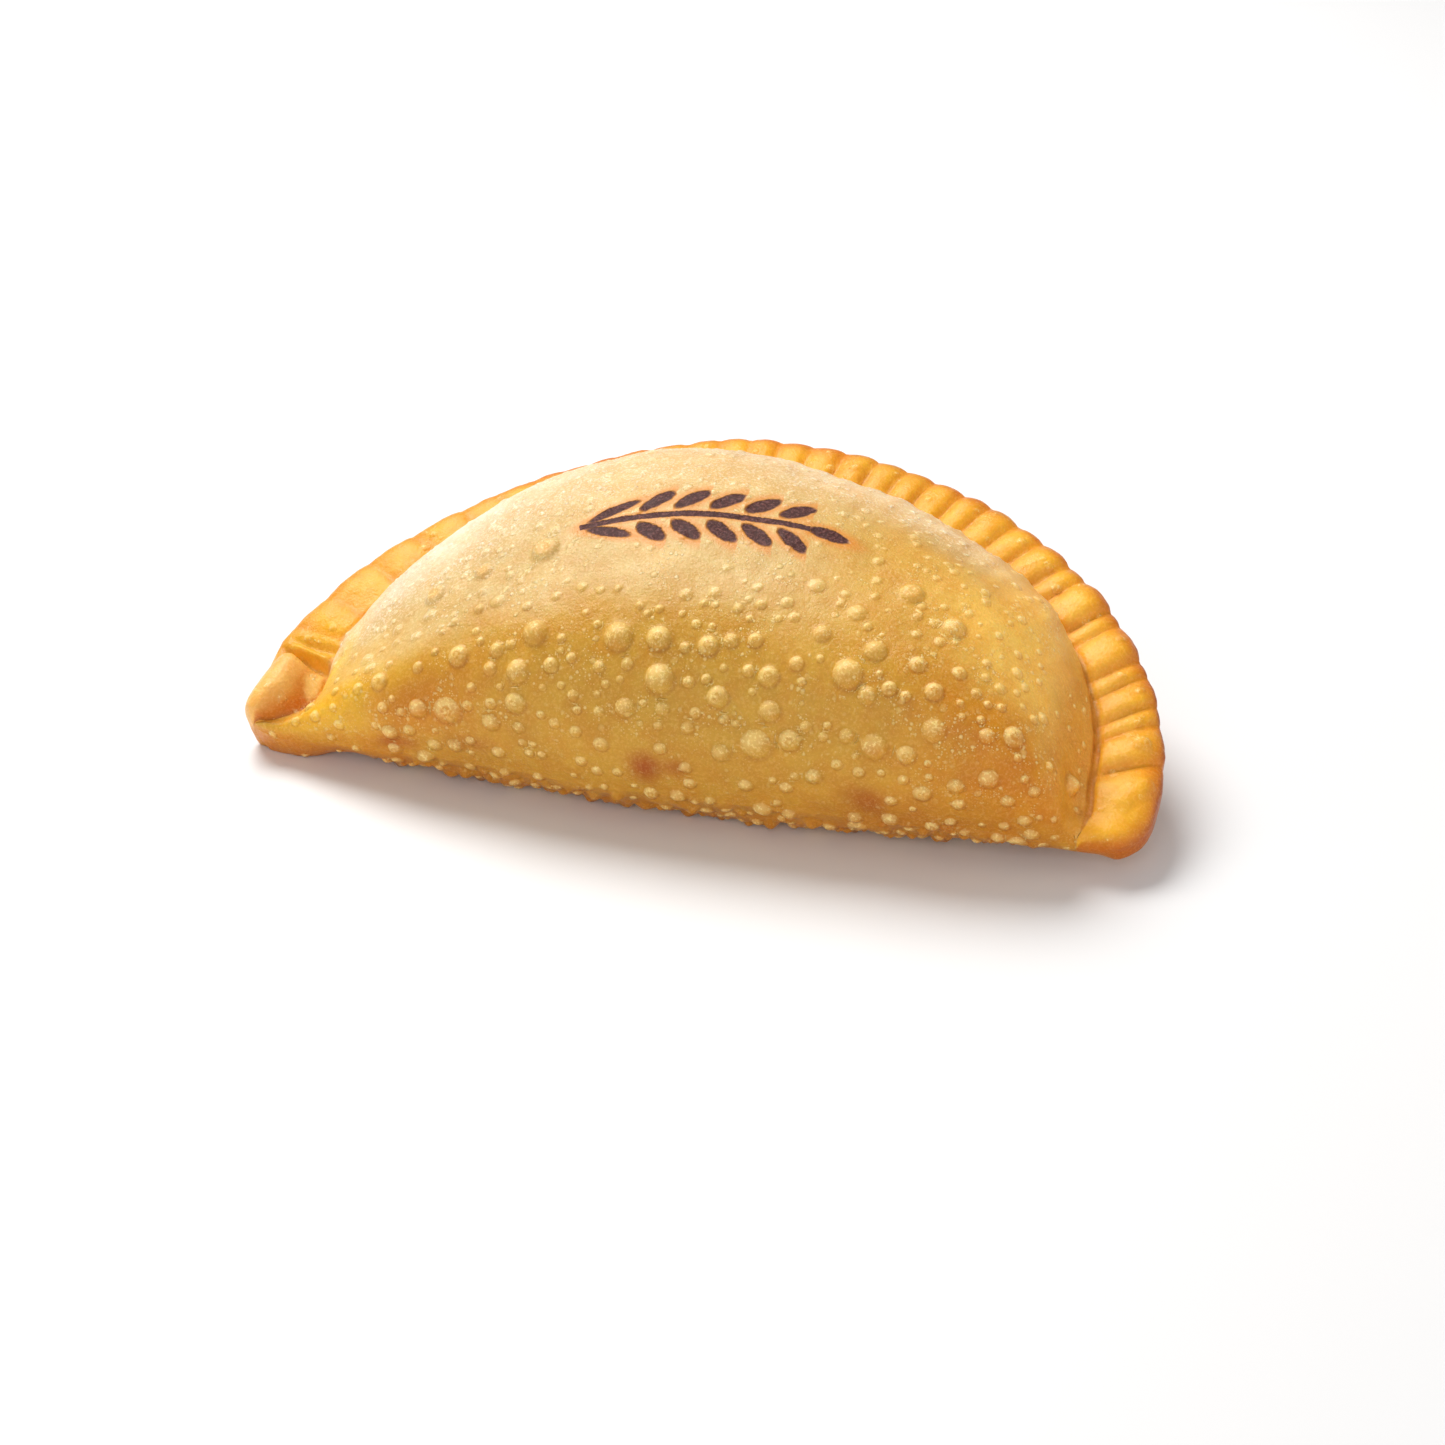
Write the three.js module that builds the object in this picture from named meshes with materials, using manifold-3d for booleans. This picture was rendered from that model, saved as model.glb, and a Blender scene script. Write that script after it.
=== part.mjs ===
// An empanada: a half-moon of fried dough, folded over its filling and pressed
// shut along a pleated rim. One solid, in millimetres, +Z up, resting on the
// flat spot under its belly, with the origin below the middle of its box.
//
// The dough is built on its seam plane, which rises from the fold at the front
// to the rim at the back. A place on that plane is (x, w): x along the length,
// w from front to back. The surface is a grid. Each column starts at the fold,
// climbs over the dome to the crease, crosses the rim to its edge and comes
// back underneath. Columns go by distance along the rim's edge: START, just
// before the left tip, where the crease begins; 0 at the tip; TOTAL at the
// right end.

import * as THREE from 'three';
import { mergeVertices } from 'three/addons/utils/BufferGeometryUtils.js';
import Module from 'manifold-3d';

const { PI, abs, sin, cos, sqrt, hypot, min, max, exp } = Math;

// ---------------------------------------------------------------- dimensions
const TILT = THREE.MathUtils.degToRad(22);    // rise of the seam plane
const SEAM_Z = 6.4;                           // seam plane above the table, at w = 0
const RIM_DEPTH = 58;                         // rim edge behind the tips' line
// half: tip from the middle; reach: how far the corner comes forward; long, deep,
// corner: the rounded corner and its fullness; power: fullness of the arc behind it
const LEFT_TIP = { half: 62.5, reach: 6.7, long: 12, deep: 6.7, corner: 2.6, power: 1.7 };
const RIGHT_TIP = { half: 65, reach: 7.4, long: 9.8, deep: 9.9, corner: 2.7, power: 1.95 };
const CREASE_START = PI / 4;                  // how far round the left corner the crease starts
// the rim from crease to edge: distance along it, width
const RIM_WIDTHS = [[20, 9], [70, 10.5], [110, 10.5], [140, 8.8], [170, 9], [186, 9.6]];
const RIM_HALF = 1.9;                         // half the rim's thickness in a groove
const DOME = 24, LEAST_TOP = 2.4;             // crest above the seam plane
const BELLY = 13.5, LEAST_BOTTOM = 2.6;       // depth below the seam plane
// the left tip: extra depth of its lip, its lower top, extra depth of the rim there,
// how much the rim's edge is flattened
const TIP_LIP = 2.6, TIP_TOP = 0.8, TIP_RIM = 3.7, TIP_FLAT = 1;
const NOSE = 4;                               // fold nose above the seam plane
const FOLD_BULGE = 3;                         // fold ahead of the corners' line
const CREST = 0.4;                            // crest's place from fold to crease
// how far along each half the dome and the belly run before they flatten out
const DOME_RUN = { left: 55.5, right: 57.5 }, BELLY_RUN = { left: 57, right: 48 };
// fullness of the section: the dome's front, the belly's front and its rear
const FRONT_POWER = 2.15, BELLY_POWER = 1.7, REAR_POWER = 2.3;
// the dome's rear, which is full on the left and leaner on the right: distance along the rim, power
const REAR_POWERS = [
  [4, 1.6], [10, 2.6], [20, 3.2], [32, 3.4], [44, 3.4], [56, 3.2], [68, 2.8], [82, 2.4],
  [96, 2.2], [110, 2], [124, 1.8], [138, 1.9], [152, 2.4], [166, 2.6], [185, 2],
];
const FILLET = 0.8, END_FILLET = 0.3;         // dome's foot running out onto the rim, less at the right
// lobes of the rim: even ones over most of it, then these sizes, then the end pad
const LOBES_FROM = 12.4, EVEN_LOBES_TO = 146.3, EVEN_LOBE = [3.9, 5.4];
const LAST_LOBES = [7.5, 3, 8, 3.4, 5.6, 3.2, 7];
const LOBE_RISE = 0.21, LOBE_MOST = 1.6;      // height: share of its size, and the limit
const LOBE_LEAN = -0.2, PILLOW = 0.12;        // its lean to one side, its rounded inner end
const LOBE_SLANT = 3.6;                       // how far the last lobes' outer ends lag behind the inner ones
const LOBE_OUT = 0.36, LOBE_UNDER = 0.35;     // share of its height that bulges outwards, and underneath
const EDGE_BACK = 0.7;                        // height of lobe that leaves the rim's edge on its line
const END_PAD_HIGH = 1.4;
// the crease beside the end pad: its rise, its bulge towards the pad, the fold's share of the corner
const END_CREASE_RISE = 0.4, END_CREASE_OUT = 0.6, CORNER_FOLD = 5;
// the ear at the left tip: a pad, a facet beside it, the depth of its crease
const EAR = { x: -58.4, w: 0.5, long: 6.5, wide: 4.1, high: 3.1, turn: 76 };
const EAR_FACET = { x: -52.8, w: 1.6, wide: 1.3, long: 3, high: 2.5 };
const EAR_DEEP = 1.3;
// the valley between the pad and the facet, and the grooves that end the ear: each line
// has its w at x and the slope by which w changes along x
const EAR_VALLEY = { x: -54.2, w: 1.6, half: 0.7, long: 3.6, deep: 1.1 };
const EAR_GROOVE = { x: -54, w: 5.4, slope: -0.4, deep: 1.7, half: 0.8 };
const SECOND_GROOVE = { x: -54, w: 8.5, slope: -0.13, deep: 0.9, half: 0.8 };
const GROOVE_RIDGE = { after: 1.5, high: 0.6 };
// the ear's crease against the body: distance along the rim, x, w
const EAR_CREASE = [
  [-4.4, -57.6, -4.75], [-2.9, -56.2, -4.1], [-1.4, -54.9, -3.3], [0.1, -53.5, -2.3],
  [1.6, -52.4, -1.1], [3.1, -51.7, 0.3], [4.6, -51.4, 1.9], [6.1, -51.5, 3.6],
  [7.6, -51.6, 5.2], [9, -51.6, 6.6], [11, -51.4, 8.7], [13.5, -51.2, 11.4],
];
const EAR_CREASE_END = 17;
// the fold's pace round the left tip: distance along the rim, along the fold
const FOLD_PACE = [
  [-4.4, 1.4], [-2.9, 2.7], [-1.4, 4.2], [0.1, 5.8], [1.6, 7.4], [3.1, 8.9],
  [5.1, 10.6], [7.6, 12.8], [11, 17.1], [17, 23.1],
];
// the large blisters: x, share of the way from the fold over the dome to the crease, radius
const LARGE_BLISTERS = [
  [-35.5, 0.57, 1.8], [-29, 0.56, 1.5], [-20.5, 0.55, 2.1], [30, 0.55, 1.7], [36.5, 0.54, 1.6],
  [-28.5, 0.35, 1.5], [-18, 0.37, 1.8], [-6.5, 0.35, 2], [-1, 0.35, 1.7], [24.5, 0.35, 2],
  [-19.5, 0.28, 1.6], [0, 0.27, 2], [8, 0.25, 1.5], [27.5, 0.42, 1.5], [36.5, 0.29, 1.6],
  [-29.5, 0.18, 2], [-19.5, 0.2, 1.5], [13.5, 0.16, 2.1], [18, 0.18, 1.5], [29, 0.2, 1.8],
  [46.5, 0.43, 1.5], [54.6, 0.715, 1.4],
];
// the others, scattered over the front
const BLISTERS = { count: 26, radius: [1.15, 1.45], share: [-0.02, 0.56], x: [-46, 50] };
const BLISTER_GAP = 0.45;                     // least distance between two
// smooth places, none there: x, share of the way, half their length, half their share
const SMOOTH_PLACES = [[1, 0.58, 20, 0.12], [-1.5, 0.065, 3, 0.05], [28, 0.055, 3, 0.05]];
// on the rim's right end: distance along it, share of the way across, radius
const RIM_BLISTERS = [[180.5, 0.62, 1.4], [189.8, 0.6, 1.5]];
const BLISTER_HEIGHT = 0.55, BLISTER_SUNK = 0.35;     // of its radius
const BLISTER_SIDES = 7;
const LOBE_SEED = 7, BLISTER_SEED = 41;

// ------------------------------------------------------------- small helpers
const clamp = (v, a, b) => min(max(v, a), b);
const lerp = (a, b, t) => a + (b - a) * t;

function smooth(a, b, v) {
  const t = clamp((v - a) / (b - a), 0, 1);
  return t * t * (3 - 2 * t);
}

const bump = (rho, power) => clamp(1 - abs(rho) ** power, 0, 1);

/** Value at v of a polyline ys over xs. */
function along(v, xs, ys) {
  if (v <= xs[0]) return ys[0];
  const last = xs.length - 1;
  if (v >= xs[last]) return ys[last];
  let low = 0, high = last;
  while (high - low > 1) {
    const mid = (low + high) >> 1;
    if (xs[mid] <= v) low = mid; else high = mid;
  }
  return lerp(ys[low], ys[high], (v - xs[low]) / (xs[high] - xs[low]));
}

const column = (rows, k) => rows.map((row) => row[k]);

/** A small repeatable random draw. */
function makeDraw(seed) {
  let state = seed;
  return (low = 0, high = 1) => {
    state = (Math.imul(state, 1664525) + 1013904223) >>> 0;
    return low + ((high - low) * state) / 4294967296;
  };
}

// ------------------------------------------------- outline on the seam plane
function arcPart(tip, count) {
  const base = tip.deep - tip.reach, points = [];
  for (let i = 0; i < count; i++) {
    const a = (PI / 2) * (i / (count - 1));
    points.push([
      tip.half * max(cos(a), 0) ** (2 / tip.power),
      base + (RIM_DEPTH - base) * sin(a) ** (2 / tip.power),
    ]);
  }
  return points;
}

function cornerPart(tip, start, end) {
  const points = [], count = 160;
  for (let i = 0; i < count; i++) {
    const g = lerp(start, end, i / (count - 1)), turn = 2 / tip.corner;
    points.push([
      tip.half - tip.long * (1 - sin(g) ** turn),
      -tip.reach + tip.deep * (1 - max(cos(g), 0) ** turn),
    ]);
  }
  return points;
}

/** A polyline with the distance along it, 0 at point number zero. */
function measured(points, zero = 0) {
  const run = [0];
  for (let i = 1; i < points.length; i++) {
    run.push(run[i - 1] + hypot(points[i][0] - points[i - 1][0], points[i][1] - points[i - 1][1]));
  }
  const dist = run.map((v) => v - run[zero]);
  return { x: column(points, 0), w: column(points, 1), dist, total: dist[dist.length - 1] };
}

const mirror = (points) => points.map(([x, w]) => [-x, w]);
const leftCorner = mirror(cornerPart(LEFT_TIP, CREASE_START, PI / 2)).slice(0, -1);
const rightCorner = cornerPart(RIGHT_TIP, 0, PI / 2).reverse();
const rim = measured([
  ...leftCorner,
  ...mirror(arcPart(LEFT_TIP, 2000)),
  ...arcPart(RIGHT_TIP, 2000).reverse().slice(1),
  ...rightCorner.slice(1),
], leftCorner.length);
const START = rim.dist[0], TOTAL = rim.total;
const RIGHT_CORNER = measured(rightCorner).total;

function foldLine() {
  const points = mirror(cornerPart(LEFT_TIP, 0, CREASE_START).reverse());
  const x0 = -LEFT_TIP.half + LEFT_TIP.long, w0 = -LEFT_TIP.reach;
  const x1 = RIGHT_TIP.half - RIGHT_TIP.long, w1 = -RIGHT_TIP.reach;
  for (let i = 1; i < 400; i++) {
    const u = i / 399;
    const bulge = FOLD_BULGE * max(1 - (2 * u - 1) ** 2, 0) ** 1.5;
    points.push([lerp(x0, x1, u), lerp(w0, w1, u) - bulge]);
  }
  return measured(points);
}
const fold = foldLine();
const crease = [[START, rim.x[0], rim.w[0]], ...EAR_CREASE];
const pace = [
  [START, 0], ...FOLD_PACE, [TOTAL - RIGHT_CORNER, fold.total - CORNER_FOLD], [TOTAL, fold.total],
];

function rimAt(d) {
  const x = along(d, rim.dist, rim.x), w = along(d, rim.dist, rim.w);
  const a = min(d + 1.5, TOTAL), b = max(d - 1.5, START);
  const tx = along(a, rim.dist, rim.x) - along(b, rim.dist, rim.x);
  const tw = along(a, rim.dist, rim.w) - along(b, rim.dist, rim.w);
  const l = hypot(tx, tw);
  return { x, w, nx: -tw / l, nw: tx / l };
}

// --------------------------------------------------------- lobes of the rim
/** Long and faint on the left, then even, then wide and narrow by turns, then the end pad. */
function makeLobes() {
  const draw = makeDraw(LOBE_SEED), lobes = [], sizes = [...LAST_LOBES];
  let at = LOBES_FROM;
  while (at < EVEN_LOBES_TO - 0.01 || sizes.length) {
    let size;
    if (at < EVEN_LOBES_TO - 0.01) {
      size = draw(...EVEN_LOBE) * (1 + 0.6 * smooth(60, 30, at) + 0.2 * smooth(115, 135, at));
      if (EVEN_LOBES_TO - at < 1.5 * size) size = EVEN_LOBES_TO - at;
    } else {
      size = sizes.shift();
    }
    const faint = 0.3 + 0.7 * smooth(40, 120, at);
    lobes.push({ at, size, high: min(LOBE_RISE * size, LOBE_MOST) * faint });
    at += size;
  }
  lobes.push({ at, size: TOTAL - at, high: END_PAD_HIGH });
  return lobes;
}
const lobes = makeLobes();

/** How far across its lobe (-1 to 1, leaning), and that lobe's height. */
function lobeAt(d) {
  let k = 0;
  while (k + 1 < lobes.length && lobes[k + 1].at <= d) k++;
  const u = clamp((2 * (d - lobes[k].at)) / lobes[k].size - 1, -1, 1);
  const high = d < lobes[0].at ? 0 : lobes[k].high;
  if (k === lobes.length - 1) return { u: clamp(-u, 0, 1) ** 1.5, high };
  return { u: u + LOBE_LEAN * (1 - u * u), high };
}

/** A lobe's height across it (u) and from the crease out (r); its inner end is rounded. */
function lobeHigh({ u, high }, r) {
  const inner = (0.7 * max(PILLOW - r, 0)) / PILLOW;
  return high * bump(hypot(u, inner), 2.6) * sin(PI * (0.2 + 0.6 * r)) ** 0.6;
}

// ------------------------------------------------------ one column's frame
/** How high the dome, or how deep the belly, stands at x, from 0 to 1. */
function envelope(x, under) {
  const run = under ? BELLY_RUN : DOME_RUN;
  if (x < 0) return clamp(1 - (x / run.left) ** 2, 0, 1) ** (under ? 1.5 : 1.05);
  return under
    ? clamp(1 - (x / run.right) ** 2, 0, 1)
    : clamp(1 - (x / run.right) ** 3.8, 0, 1) ** 0.8;
}

function frameAt(d) {
  const here = rimAt(d), { nx, nw } = here;
  const width = along(d, column(RIM_WIDTHS, 0), column(RIM_WIDTHS, 1));
  let ix = here.x - nx * width, iw = here.w - nw * width;
  const slant = LOBE_SLANT * smooth(135, 178, d) * smooth(TOTAL, TOTAL - 12, d);
  const x = along(d - slant, rim.dist, rim.x), w = along(d - slant, rim.dist, rim.w);
  const t = smooth(11, EAR_CREASE_END, d), at = column(crease, 0);
  const past = max(d - at[at.length - 1], 0);
  ix = lerp(along(d, at, column(crease, 1)), ix, t);
  iw = lerp(along(d, at, column(crease, 2)) + past, iw, t);
  const round = clamp((d - (TOTAL - RIGHT_CORNER)) / RIGHT_CORNER, 0, 1);
  if (round > 0) {
    const b = rimAt(TOTAL - RIGHT_CORNER), wide = RIM_WIDTHS[RIM_WIDTHS.length - 1][1];
    const end = RIGHT_TIP.half - RIGHT_TIP.long;
    ix = lerp(b.x - b.nx * wide, end, round) + END_CREASE_OUT * sin(PI * round);
    iw = lerp(b.w - b.nw * wide, -RIGHT_TIP.reach, round);
  }
  const s = along(d, column(pace, 0), column(pace, 1));
  const fx = along(s, fold.dist, fold.x), fw = along(s, fold.dist, fold.w);
  const reach = hypot(ix - fx, iw - fw), wide = hypot(x - ix, w - iw);
  const left = d < TOTAL / 2, lobe = lobeAt(d);
  const half = RIM_HALF * sqrt(clamp(wide / (left ? 2.5 : 1.2), 0, 1));
  return {
    d, x, w, nx, nw, ix, iw, fx, fw, wide, half, lobe,
    crease: half - EAR_DEEP * smooth(START, START + 3, d) * smooth(9, 5.5, d)
      + lobeHigh(lobe, 0) * smooth(0, 5, wide)
      + END_CREASE_RISE * smooth(TOTAL - 7, TOTAL - 2, d) * smooth(0, 1, wide),
    full: sqrt(clamp(reach / (left ? 1.5 : 1.2), 0, 1)),
    crest: left ? 1 : smooth(0, 14, reach),
    under: half * (1 + (TIP_RIM / RIM_HALF) * smooth(14, 3, d)),
    rear: along(d, column(REAR_POWERS, 0), column(REAR_POWERS, 1)),
    fillet: lerp(FILLET, END_FILLET, smooth(125, 145, d)) * smooth(14, 24, d) * smooth(0, 8, wide),
  };
}

/** From the seam plane (x, w) and a height off it to the resting frame. */
const lift = ([x, w, h]) => [
  x,
  w * cos(TILT) - h * sin(TILT),
  max(w * sin(TILT) + h * cos(TILT) + SEAM_Z, 0),
];

/** The dome (top) or belly, from the fold at s = 0 to the crease at s = 1. */
function bodyPoint(f, s, top) {
  const front = s <= 0.5, th = PI * (front ? s : 1 - s);
  const power = front ? (top ? FRONT_POWER : BELLY_POWER) : REAR_POWER;
  const own = top && !front ? f.rear : power;
  const c = max(cos(th), 0) ** (2 / power), k = max(1 - c ** own, 0) ** (1 / own);
  const q = front ? CREST * (1 - c) : CREST + (1 - CREST) * c;
  const x = lerp(f.fx, f.ix, q), w = lerp(f.fw, f.iw, q);
  const e = envelope(x, false) * f.crest;
  const tip = smooth(-45, -54, x), least = LEAST_BOTTOM + TIP_LIP * tip;
  const start = front ? NOSE * e * f.full : (top ? f.crease : -f.under);
  const goal = top
    ? (lerp(LEAST_TOP, DOME, e) - TIP_TOP * tip) * f.full
    : -lerp(least, BELLY, envelope(x, true)) * f.full;
  const h = lerp(start, goal, k);
  let out = 0;
  if (top && !front && f.fillet > 0) {
    const foot = clamp(1 - (h - start) / f.fillet, 0, 1);
    out = f.fillet * (1 - sqrt(1 - foot ** 2));
  }
  return [x + f.nx * out, w + f.nw * out, h];
}

/** The end of the rim folded over at the left tip: a pad, a valley and a facet. */
function ear(x, w) {
  const turn = THREE.MathUtils.degToRad(EAR.turn), c = cos(turn), s = sin(turn);
  const u = (x - EAR.x) * c + (w - EAR.w) * s, v = -(x - EAR.x) * s + (w - EAR.w) * c;
  const pad = EAR.high * bump(hypot(u / EAR.long, v / EAR.wide), 2.6) ** 0.75;
  const facet = EAR_FACET.high
    * bump(hypot((x - EAR_FACET.x) / EAR_FACET.wide, (w - EAR_FACET.w) / EAR_FACET.long), 3) ** 0.6;
  const valley = exp(-(((x - EAR_VALLEY.x) / EAR_VALLEY.half) ** 2))
    * bump((w - EAR_VALLEY.w) / EAR_VALLEY.long, 2);
  return (pad ** 4 + facet ** 4) ** 0.25 - EAR_VALLEY.deep * valley;
}

/** The groove that ends the ear, a thin ridge and a second groove. */
function earGrooves(x, w) {
  const past = (line) => w - (line.w + line.slope * (x - line.x));
  const wave = (line, after = 0) => exp(-(((past(line) - after) / line.half) ** 2));
  return smooth(-61, -57.5, x) * smooth(-49, -51.5, x) * (
    GROOVE_RIDGE.high * wave(EAR_GROOVE, GROOVE_RIDGE.after)
    - EAR_GROOVE.deep * wave(EAR_GROOVE)
    - SECOND_GROOVE.deep * wave(SECOND_GROOVE));
}

/** The rim, from the crease at r = 0 to its edge at r = 1. */
function rimPoint(f, r, top) {
  const lobe = lobeHigh(f.lobe, r), edge = sqrt(clamp(1 - r ** 5, 0, 1));
  const bulge = LOBE_OUT * (lobe - EDGE_BACK * smooth(6, 14, f.d)) - TIP_FLAT * bump((f.d - 3) / 7, 2);
  const out = bulge * smooth(0.3, 1, r) * smooth(0, 6, f.wide) + f.fillet * (1 - r);
  const x = lerp(f.ix, f.x, r), w = lerp(f.iw, f.w, r);
  let h = (top ? f.half : f.under) + lobe * (top ? 1 : LOBE_UNDER) * smooth(0, 5, f.wide);
  if (top) {
    h = lerp(f.crease, h, smooth(0, 0.05 + 0.2 * smooth(16, 10, f.d), r))
      + ear(x, w) * smooth(0, 0.2, r) * smooth(0, 3, f.wide) + earGrooves(x, w);
  }
  return [x + f.nx * out, w + f.nw * out, h * edge * (top ? 1 : -1)];
}

// ------------------------------------------------------------ the dough body
const BODY_TOP = 12, BODY_UNDER = 6, RIM_ROWS = 4;

/** Column places: close round the ear, three or four to a lobe. */
function columns() {
  const list = [];
  for (let d = START; d < LOBES_FROM - 0.4; d += 1.1) list.push(d);
  for (const { at, size } of lobes.slice(0, -1)) {
    const parts = size > 4.4 ? [0, 0.17, 0.5, 0.83] : [0, 0.25, 0.75];
    list.push(...parts.map((p) => at + p * size));
  }
  const last = lobes[lobes.length - 1];
  for (let i = 0; i < 13; i++) list.push(last.at + (last.size * i) / 12);
  return list;
}

function columnPoints(d) {
  const f = frameAt(d), points = [];
  for (let i = 0; i <= BODY_TOP; i++) points.push(bodyPoint(f, i / BODY_TOP, true));
  const reaches = Array.from({ length: RIM_ROWS }, (_, j) => 1 - (1 - (j + 1) / RIM_ROWS) ** 1.5);
  for (const r of reaches) points.push(rimPoint(f, r, true));
  for (const r of reaches.slice(0, -1).reverse()) if (r > 0.4) points.push(rimPoint(f, r, false));
  for (let i = BODY_UNDER; i > 0; i--) points.push(bodyPoint(f, i / BODY_UNDER, false));
  return points.map(lift);
}

function doughGeometry() {
  const grid = columns().map(columnPoints);
  const rows = grid[0].length, positions = grid.flat(2), index = [];
  const id = (c, r) => c * rows + ((r + rows) % rows);
  for (let c = 0; c + 1 < grid.length; c++) {
    for (let r = 0; r < rows; r++) {
      index.push(id(c, r), id(c + 1, r), id(c + 1, r + 1), id(c, r), id(c + 1, r + 1), id(c, r + 1));
    }
  }
  const geometry = new THREE.BufferGeometry();
  geometry.setAttribute('position', new THREE.Float32BufferAttribute(positions, 3));
  geometry.setIndex(index);
  return closed(geometry);
}

/** Merge shared corners and drop triangles that have shrunk to a line. */
function closed(geometry) {
  geometry.deleteAttribute('normal');
  geometry.deleteAttribute('uv');
  const merged = mergeVertices(geometry, 1e-3);
  const source = merged.getIndex().array, kept = [];
  for (let i = 0; i < source.length; i += 3) {
    const [a, b, c] = [source[i], source[i + 1], source[i + 2]];
    if (a !== b && b !== c && c !== a) kept.push(a, b, c);
  }
  merged.setIndex(kept);
  return merged;
}

// ----------------------------------------------------------------- blisters
const STATIONS = Array.from({ length: 300 }, (_, i) => frameAt(lerp(16, TOTAL - 4, i / 299)));

/** A point of the section, by its share of the way round: over 0 on the dome, under 0 on the belly. */
const section = (f, share) => bodyPoint(f, abs(share), share >= 0);

/** Place and outward direction on the body, at x and a share of the way round. */
function surfaceAt(x, share) {
  const d = along(x, STATIONS.map((f) => section(f, share)[0]), column(STATIONS, 'd'));
  const at = (dd, ss) => new THREE.Vector3(...lift(section(frameAt(dd), ss)));
  const p = at(d, share);
  const a = at(d + 0.3, share).sub(at(d - 0.3, share));
  const b = at(d, share + 0.004).sub(at(d, share - 0.004));
  return { p, n: a.cross(b).normalize() };
}

function rimSurfaceAt(d, r) {
  const at = (dd, rr) => new THREE.Vector3(...lift(rimPoint(frameAt(dd), rr, true)));
  const p = at(d, r);
  const n = at(d + 0.3, r).sub(at(d - 0.3, r)).cross(at(d, r + 0.02).sub(at(d, r - 0.02)));
  return { p, n: n.normalize() };
}

const isSmooth = (x, share) => (
  SMOOTH_PLACES.some(([cx, cs, a, b]) => hypot((x - cx) / a, (share - cs) / b) < 1)
);

function placeBlisters() {
  const draw = makeDraw(BLISTER_SEED);
  const placed = LARGE_BLISTERS.map(([x, share, r]) => ({ ...surfaceAt(x, share), r }));
  placed.push(...RIM_BLISTERS.map(([d, across, r]) => ({ ...rimSurfaceAt(d, across), r })));
  const wanted = placed.length + BLISTERS.count;
  for (let tries = 0; placed.length < wanted && tries < 4000; tries++) {
    const x = draw(...BLISTERS.x), share = draw(...BLISTERS.share), r = draw(...BLISTERS.radius);
    if (isSmooth(x, share)) continue;
    const { p, n } = surfaceAt(x, share);
    if (placed.some((o) => o.p.distanceTo(p) < o.r + r + BLISTER_GAP)) continue;
    placed.push({ p, n, r });
  }
  return placed;
}

/** A low closed dome, sunk a little into the dough. */
function blisterGeometry({ p, n, r }) {
  const high = BLISTER_HEIGHT * r, low = -BLISTER_SUNK * r;
  const profile = [[0, low], [0.92 * r, low], [0.98 * r, 0], [0.62 * r, 0.74 * high], [0, high]];
  const geometry = new THREE.LatheGeometry(profile.map(([a, b]) => new THREE.Vector2(a, b)), BLISTER_SIDES);
  geometry.applyQuaternion(new THREE.Quaternion().setFromUnitVectors(new THREE.Vector3(0, 1, 0), n));
  geometry.translate(p.x, p.y, p.z);
  return closed(geometry);
}

// ------------------------------------------------------------------ assembly
const wasm = await Module();
wasm.setup();

function toSolid(geometry) {
  return new wasm.Manifold(new wasm.Mesh({
    numProp: 3,
    vertProperties: Float32Array.from(geometry.getAttribute('position').array),
    triVerts: Uint32Array.from(geometry.getIndex().array),
  }));
}

function toGeometry(solid) {
  const mesh = solid.getMesh(), geometry = new THREE.BufferGeometry();
  const corners = Float32Array.from(mesh.vertProperties);
  geometry.setAttribute('position', new THREE.Float32BufferAttribute(corners, 3));
  geometry.setIndex(Array.from(mesh.triVerts));
  return geometry;
}

let dough = toSolid(doughGeometry());
for (const blister of placeBlisters()) dough = dough.add(toSolid(blisterGeometry(blister)));
const geometry = toGeometry(dough);
geometry.computeBoundingBox();
const box = geometry.boundingBox;
geometry.translate(-(box.min.x + box.max.x) / 2, -(box.min.y + box.max.y) / 2, -box.min.z);
geometry.computeVertexNormals();

const crust = new THREE.Mesh(geometry, new THREE.MeshStandardMaterial({
  color: 0xd9a55a, roughness: 0.45, metalness: 0, flatShading: true,
}));
crust.name = 'crust';

const empanada = new THREE.Group();
empanada.name = 'empanada';
empanada.add(crust);

export default empanada;
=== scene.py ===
"""An empanada: a blistered, fried half-moon on a pale floor."""
from math import cos, pi, radians, sin

import bmesh
import bpy
import numpy as np
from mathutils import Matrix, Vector
from mathutils.kdtree import KDTree


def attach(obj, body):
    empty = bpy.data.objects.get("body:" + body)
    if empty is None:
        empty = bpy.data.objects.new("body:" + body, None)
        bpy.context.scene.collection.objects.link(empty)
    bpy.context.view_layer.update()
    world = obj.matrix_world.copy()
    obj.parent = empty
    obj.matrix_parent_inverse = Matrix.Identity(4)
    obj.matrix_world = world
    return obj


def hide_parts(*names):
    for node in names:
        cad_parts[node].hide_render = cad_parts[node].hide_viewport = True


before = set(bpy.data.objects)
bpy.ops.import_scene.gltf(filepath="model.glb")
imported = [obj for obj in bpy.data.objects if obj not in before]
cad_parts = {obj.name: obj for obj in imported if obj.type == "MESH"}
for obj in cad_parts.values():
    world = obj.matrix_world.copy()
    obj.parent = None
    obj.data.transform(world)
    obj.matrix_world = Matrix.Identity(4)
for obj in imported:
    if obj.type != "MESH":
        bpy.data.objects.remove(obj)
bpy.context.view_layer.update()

# ------------------------------------------------------------ the shape, in millimetres
# The dough lies on a seam plane that rises to the back. A place on it is (x, w):
# x along the length, w from front to back. A column of points starts at the fold,
# climbs over the dome to the crease, crosses the rim and comes back underneath.
# Columns go by distance d along the rim's edge: 0 at the left tip, less round its
# corner, where the crease starts, and more over the back to the right end.
ORIGIN = (1.636, 20.195)              # the box's middle, from the seam plane's own origin
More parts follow.
